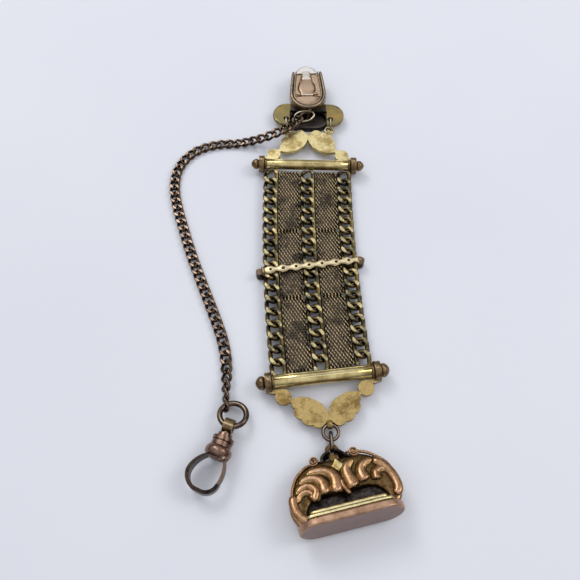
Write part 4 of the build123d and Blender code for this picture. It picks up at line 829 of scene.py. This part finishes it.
# the tip and its neck nearly white: part polish, part painted highlight
tipAlong = np.linspace(clip["tipStart"], clip["tipEnd"], 25)
tipHalf = clip["tip"] * np.sqrt(np.clip(1 - ((tipAlong - clip["tipStart"]) / 2.66) ** 2, 0.01, None))
leverBand("clip_lever_tip", tipHalf, tipAlong, clip["tipThick"], clip["tipLift"], "polishAndHighlight",
          middle=shift * 0.6)
neck = np.linspace(*clip["neck"], 13)
neckHalf = np.interp(neck, vaseAlong[::-1], vaseHalf[::-1]) - 0.12
neckFall = np.clip((neck - 28.6) / 2.4, 0, 1)
leverBand("clip_lever_neck", neckHalf, neck, 0.2, clip["leverLift"] + 0.14 - 0.2 * neckFall ** 1.5,
          "polishAndHighlight", sides=18)
print("clip made")

# Seal: two fluted scrolls over a platform, in the seal's own frame (across, up, out)
sealPlace = dict(origin=(13.1787, -45.5397, 1.65), x=(-0.97318, -0.23005, 0), y=(0.22415, -0.94824, 0.22495),
                 z=(-0.05175, 0.21892, 0.97437))
seal = dict(arm=1.45, fluteLift=1.42, fluteThick=0.60, fluteStart=0.50, bead=0.34,
            outer=((0.0, 2.2), (2.6, 2.0), (5.43, 2.2), (8.38, 4.0), (9.95, 6.8), (10.35, 8.8), (10.05, 11.0),
                   (8.9, 13.4)),
            inner=((0.0, 9.3), (1.5, 9.3), (3.3, 9.0), (5.0, 9.1), (6.5, 9.7), (7.6, 10.9), (8.0, 12.2),
                   (7.9, 13.4)),
            ridgeThick=0.62, ridgeHalf=dict(stem=0.50, armLeft=0.95, armRight=0.95),
            leafHalf=0.42, leafThick=0.9, border=0.34, borderThick=0.42, line=0.10, lineThick=0.30,
            beads=22, webDepth=0.35, archLow=9.0, archHigh=13.6, lozenge=1.22)
flutes = {
    "L1": ((6.5, 4.35), (4.98, 3.98), (3.36, 4.07), (2.11, 4.72), (1.34, 5.66), (1.11, 6.99), (1.37, 8.28)),
    "L2": ((8.31, 6.0), (7.12, 5.25), (5.88, 5.14), (4.6, 5.68), (3.84, 6.61), (3.7, 8.0)),
    "L3": ((9.35, 7.81), (8.32, 6.83), (7.01, 6.43), (5.95, 7.02), (5.4, 7.98), (5.89, 9.09)),
    "L4": ((9.56, 9.5), (8.87, 8.25), (7.71, 7.62), (6.77, 7.86), (6.27, 8.6), (6.48, 9.06)),
    "R1": ((-3.4, 3.51), (-2.22, 3.98), (-1.54, 4.89), (-1.43, 5.94), (-1.71, 7.08), (-1.98, 8.2)),
    "R2": ((-7.05, 4.45), (-5.8, 4.46), (-4.81, 4.97), (-4.34, 5.82), (-4.29, 6.67), (-4.51, 7.58)),
    "R3": ((-9.48, 7.14), (-8.63, 6.6), (-7.58, 6.65), (-7.0, 7.15), (-6.94, 7.98)),
}
fluteHalf = {"L1": 1.30, "L2": 1.15, "L3": 0.92, "L4": 0.66, "R1": 1.35, "R2": 1.20, "R3": 0.92}
ridges = {
    "armLeft": ((9.87, 7.79), (10.23, 9.32), (10.03, 10.97), (9.14, 12.57), (7.77, 13.3), (6.62, 12.62)),
    "armRight": ((-7.12, 4.35), (-8.78, 5.65), (-9.93, 7.78), (-10.36, 9.8), (-10.19, 11.43), (-9.21, 12.2)),
    "stem": ((0.05, 6.84), (0.01, 8.11), (-0.46, 9.26), (-0.98, 10.21)),
}
beadEdges = {
    "edgeLeft": ((5.43, 2.29), (6.86, 3.02), (8.38, 4.15), (9.29, 5.42), (9.95, 6.93), (10.26, 8.71),
                 (9.96, 10.8), (9.16, 12.39)),
    "edgeRight": ((-2.39, 1.39), (-4.63, 1.73), (-6.53, 2.45), (-8.23, 3.79), (-9.77, 5.51), (-10.5, 7.67),
                  (-10.77, 9.87), (-10.41, 11.46)),
}
leaves = {
    "leafRight": ((-0.12, 0.4), (-0.94, 0.5), (-1.77, 1.28), (-2.57, 2.15), (-3.49, 2.61)),
    "leafLeft": ((0.53, 0.46), (1.66, 0.73), (2.44, 1.32), (2.66, 2.15), (3.55, 2.36)),
}


def sealBand(name, points, count, halfWidth, thick, lift, finish, sides=14):
    # one band on the front of the seal and its twin on the back
    left, right = sidesOf(smoothLine(points, count), halfWidth)
    for face, hand in (("front", 1), ("back", -1)):
        pillow(f"seal_{name}_{face}", sealPlace, left, right, thick, hand * lift, "seal", finish,
               sides=sides)


def roundedEnds(share, power):
    # one along a band's length, falling to a tenth at both ends: the higher the power, the shorter the fall
    return np.sqrt(np.clip(1 - (2 * share - 1) ** power, 0.01, 1))


for sideName, hand in (("left", 1), ("right", -1)):
    outer = smoothLine(np.array(seal["outer"]) * (hand, 1), 61)
    inner = smoothLine(np.array(seal["inner"]) * (hand, 1), 61)
    arm = pillow(f"seal_arm_{sideName}", sealPlace, outer, inner, seal["arm"], 0.0, "seal", "oliveRose",
                 square=4, sides=28)
    # a black sheet fills each arch between arm and platform: painted shade where the arch is open
    web = np.linspace(0, 8.4, 9) * hand
    webLow, webHigh = (np.stack([web, seal[end] + 0 * web], 1) for end in ("archLow", "archHigh"))
    pillow(f"seal_web_{sideName}", sealPlace, webLow, webHigh, seal["webDepth"], 0.0, "seal", "shadeBlack",
           square=6)
    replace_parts(arm, f"seal_scroll_{sideName}")
share = np.linspace(0, 1, 41)
tipRound = np.sqrt(np.clip(1 - np.clip((share - 0.82) / 0.18, 0, 1) ** 2.0, 0.004, 1))
startRound = np.sqrt(np.clip(share / 0.08, 0.01, 1))
for fluteName, points in flutes.items():
    last, before = np.array(points[-1]), np.array(points[-2])
    points = points + (tuple(last + (last - before) * 0.75),)
    wide = seal["fluteStart"] + (fluteHalf[fluteName] - seal["fluteStart"]) * share ** 0.6
    high = seal["fluteThick"] * np.sqrt(tipRound * startRound)
    sealBand(f"flute_{fluteName}", points, 41, wide * tipRound * startRound, high,
             seal["fluteLift"] + 0.25 * share, "matteRose")
    # a darker, lower band round each flute: painted shade in the valley beside it
    sealBand(f"border_{fluteName}", points, 41, (wide + seal["border"]) * tipRound ** 0.5 * startRound,
             seal["borderThick"], seal["fluteLift"] - 0.02, "oliveRose")
    sealBand(f"bead_{fluteName}", points, 41, (wide + seal["line"]) * tipRound ** 0.7 * startRound,
             seal["lineThick"], seal["fluteLift"] + 0.22, "beadGold")
for ridgeName, points in ridges.items():
    ends = roundedEnds(share, 12)
    sealBand(ridgeName, points, 41, seal["ridgeHalf"][ridgeName] * ends, seal["ridgeThick"] * ends,
             seal["fluteLift"] + 0.15, "matteRose")
edgeShare = np.linspace(0, 1, 201)
for edgeName, points in beadEdges.items():
    beads = 0.72 + 0.28 * np.abs(np.sin(edgeShare * math.pi * seal["beads"]))
    size = seal["bead"] * roundedEnds(edgeShare, 20) * beads
    sealBand(edgeName, points, 201, size, 1.2 * size, 1.25, "matteRose", sides=10)
for leafName, points in leaves.items():
    ends = roundedEnds(share, 8)
    sealBand(leafName, points, 41, seal["leafHalf"] * ends, seal["leafThick"] * ends, 0.75, "hookBronze")
lozengeAlong = np.linspace(2.5, 5.2, 19)
lozengeHalf = seal["lozenge"] * np.clip(1 - np.abs(lozengeAlong - 3.85) / 1.4, 0.03, 1)
for face, hand in (("front", 1), ("back", -1)):
    straightBand(f"seal_lozenge_{face}", sealPlace, 0.0, lozengeHalf, lozengeAlong, 0.28, hand * 1.6,
                 "seal", "castBrass", square=4, sides=20)


def loopBand(name, place, halfWide, halfDeep, along, out, tall, body, finish):
    # a bead round a squared-off oval: the oval grows and shrinks by out as the bead's section turns
    turn = np.linspace(0, 2 * np.pi, 120, endpoint=False)[:, None]
    section = np.linspace(0, 2 * np.pi, 10, endpoint=False)[None, :]
    grow = out * np.cos(section)
    wide = (halfWide + grow) * roundPower(np.cos(turn), 0.22)
    deep = (halfDeep + grow) * roundPower(np.sin(turn), 0.22)
    grid = onFrame(place, wide, along + tall * np.sin(section) + 0 * turn, deep)
    faces = tubeFaces(1, 120, 10, closed=True)
    weld(meshObject(name, grid.reshape(-1, 3), faces, body, metals[finish]))


# half across, half deep, distance up, half width and half height of each step's bead
platformSteps = ((7.60, 2.42, 12.20, 0.16, 0.36), (8.46, 3.30, 13.10, 0.16, 0.34))
for number, step in enumerate(platformSteps):
    loopBand(f"seal_platform_step_{number}", sealPlace, *step, "seal", "platformBrass")
curls = dict(left=(4.4, 1.75), right=(-4.08, 1.6), start=0.6, turn=3.4, radius=0.98, shrink=0.72,
             half=0.24, thick=0.6, lift=1.1)
share = np.linspace(0, 1, 61)
angle = curls["start"] + share * curls["turn"] * math.pi
radius = curls["radius"] - curls["shrink"] * share
for sideName, hand in (("left", 1), ("right", -1)):
    across, up = curls[sideName]
    curl = np.stack([across + hand * radius * np.cos(angle), up + radius * np.sin(angle)], 1)
    sealBand(f"curl_{sideName}", curl, 61, curls["half"], curls["thick"], curls["lift"], "matteRose",
             sides=10)
print("seal made")

# Table, light and camera
tableTop = dict(half=1.2, height=-0.00012, pale="#E6E7EC", dull="#DADCE3", patches=9.0, roughness=0.9)
corners = [(x * tableTop["half"], y * tableTop["half"], tableTop["height"])
           for x, y in ((-1, -1), (1, -1), (1, 1), (-1, 1))]
floorMesh = bpy.data.meshes.new("table")
floorMesh.from_pydata(corners, [], [(0, 1, 2, 3)])
table = bpy.data.objects.new("table", floorMesh)
scene.collection.objects.link(table)
paper = bpy.data.materials.new("palePaper")
paper.use_nodes = True
paperTree = paper.node_tree
paperTree.nodes.clear()
paperCoords = addNode(paperTree, "ShaderNodeTexCoord")
paperNoise = addNode(paperTree, "ShaderNodeTexNoise", {"Scale": tableTop["patches"], "Detail": 2.0},
                     {"Vector": paperCoords.outputs["Object"]})
paperColour = addNode(paperTree, "ShaderNodeMix",
                      {"data_type": "RGBA", 6: toLinear(tableTop["dull"]), 7: toLinear(tableTop["pale"])},
                      {0: paperNoise.outputs[0]})
paperShader = addNode(paperTree, "ShaderNodeBsdfPrincipled", {"Roughness": tableTop["roughness"]},
                      {"Base Color": paperColour.outputs[2]})
addNode(paperTree, "ShaderNodeOutputMaterial", links={"Surface": paperShader.outputs[0]})
floorMesh.materials.append(paper)

# World: pale overhead, dark low down, as in a photographer's tent with an open side
worldLight = dict(zenith=0.95, horizon=0.12, low=0.10, high=0.75, colour="#F2F4FA")
worldRange = (worldLight["low"], worldLight["high"], worldLight["horizon"], worldLight["zenith"])
world = bpy.data.worlds.new("studio")
scene.world = world
world.use_nodes = True
worldTree = world.node_tree
worldTree.nodes.clear()
worldCoords = addNode(worldTree, "ShaderNodeTexCoord")
worldParts = addNode(worldTree, "ShaderNodeSeparateXYZ", links={0: worldCoords.outputs["Generated"]})
worldShade = addNode(worldTree, "ShaderNodeMapRange", dict(zip(rangeKeys, worldRange)),
                     {"Value": worldParts.outputs[2]})
worldBack = addNode(worldTree, "ShaderNodeBackground", {"Color": toLinear(worldLight["colour"])},
                    {"Strength": worldShade.outputs[0]})
addNode(worldTree, "ShaderNodeOutputWorld", links={"Surface": worldBack.outputs[0]})

lamps = {
    "lampKey": dict(place=(-0.22, 0.30, 0.42), size=0.22, power=0.75),
    "lampFill": dict(place=(0.35, 0.05, 0.35), size=0.20, power=0.45),
}
for lampName, lamp in lamps.items():
    light = bpy.data.lights.new(lampName, "AREA")
    light.size = lamp["size"]
    light.energy = lamp["power"]
    lampThing = bpy.data.objects.new(lampName, light)
    scene.collection.objects.link(lampThing)
    lampThing.location = lamp["place"]
    spot = np.array(lamp["place"])
    toward = -spot / np.linalg.norm(spot)
    lampThing.rotation_euler = (math.acos(-toward[2]), 0, math.atan2(toward[1], toward[0]) - math.pi / 2)

view = dict(place=(4.56, -75.87, 129.5), tilt=28.0, lens=38.35)
camera = bpy.data.cameras.new("camera")
camera.lens = view["lens"]
camera.sensor_width = 36
cameraThing = bpy.data.objects.new("camera", camera)
scene.collection.objects.link(cameraThing)
cameraThing.location = [v * mm for v in view["place"]]
cameraThing.rotation_euler = (math.radians(view["tilt"]), 0, 0)
scene.camera = cameraThing
scene.view_settings.view_transform = "Standard"
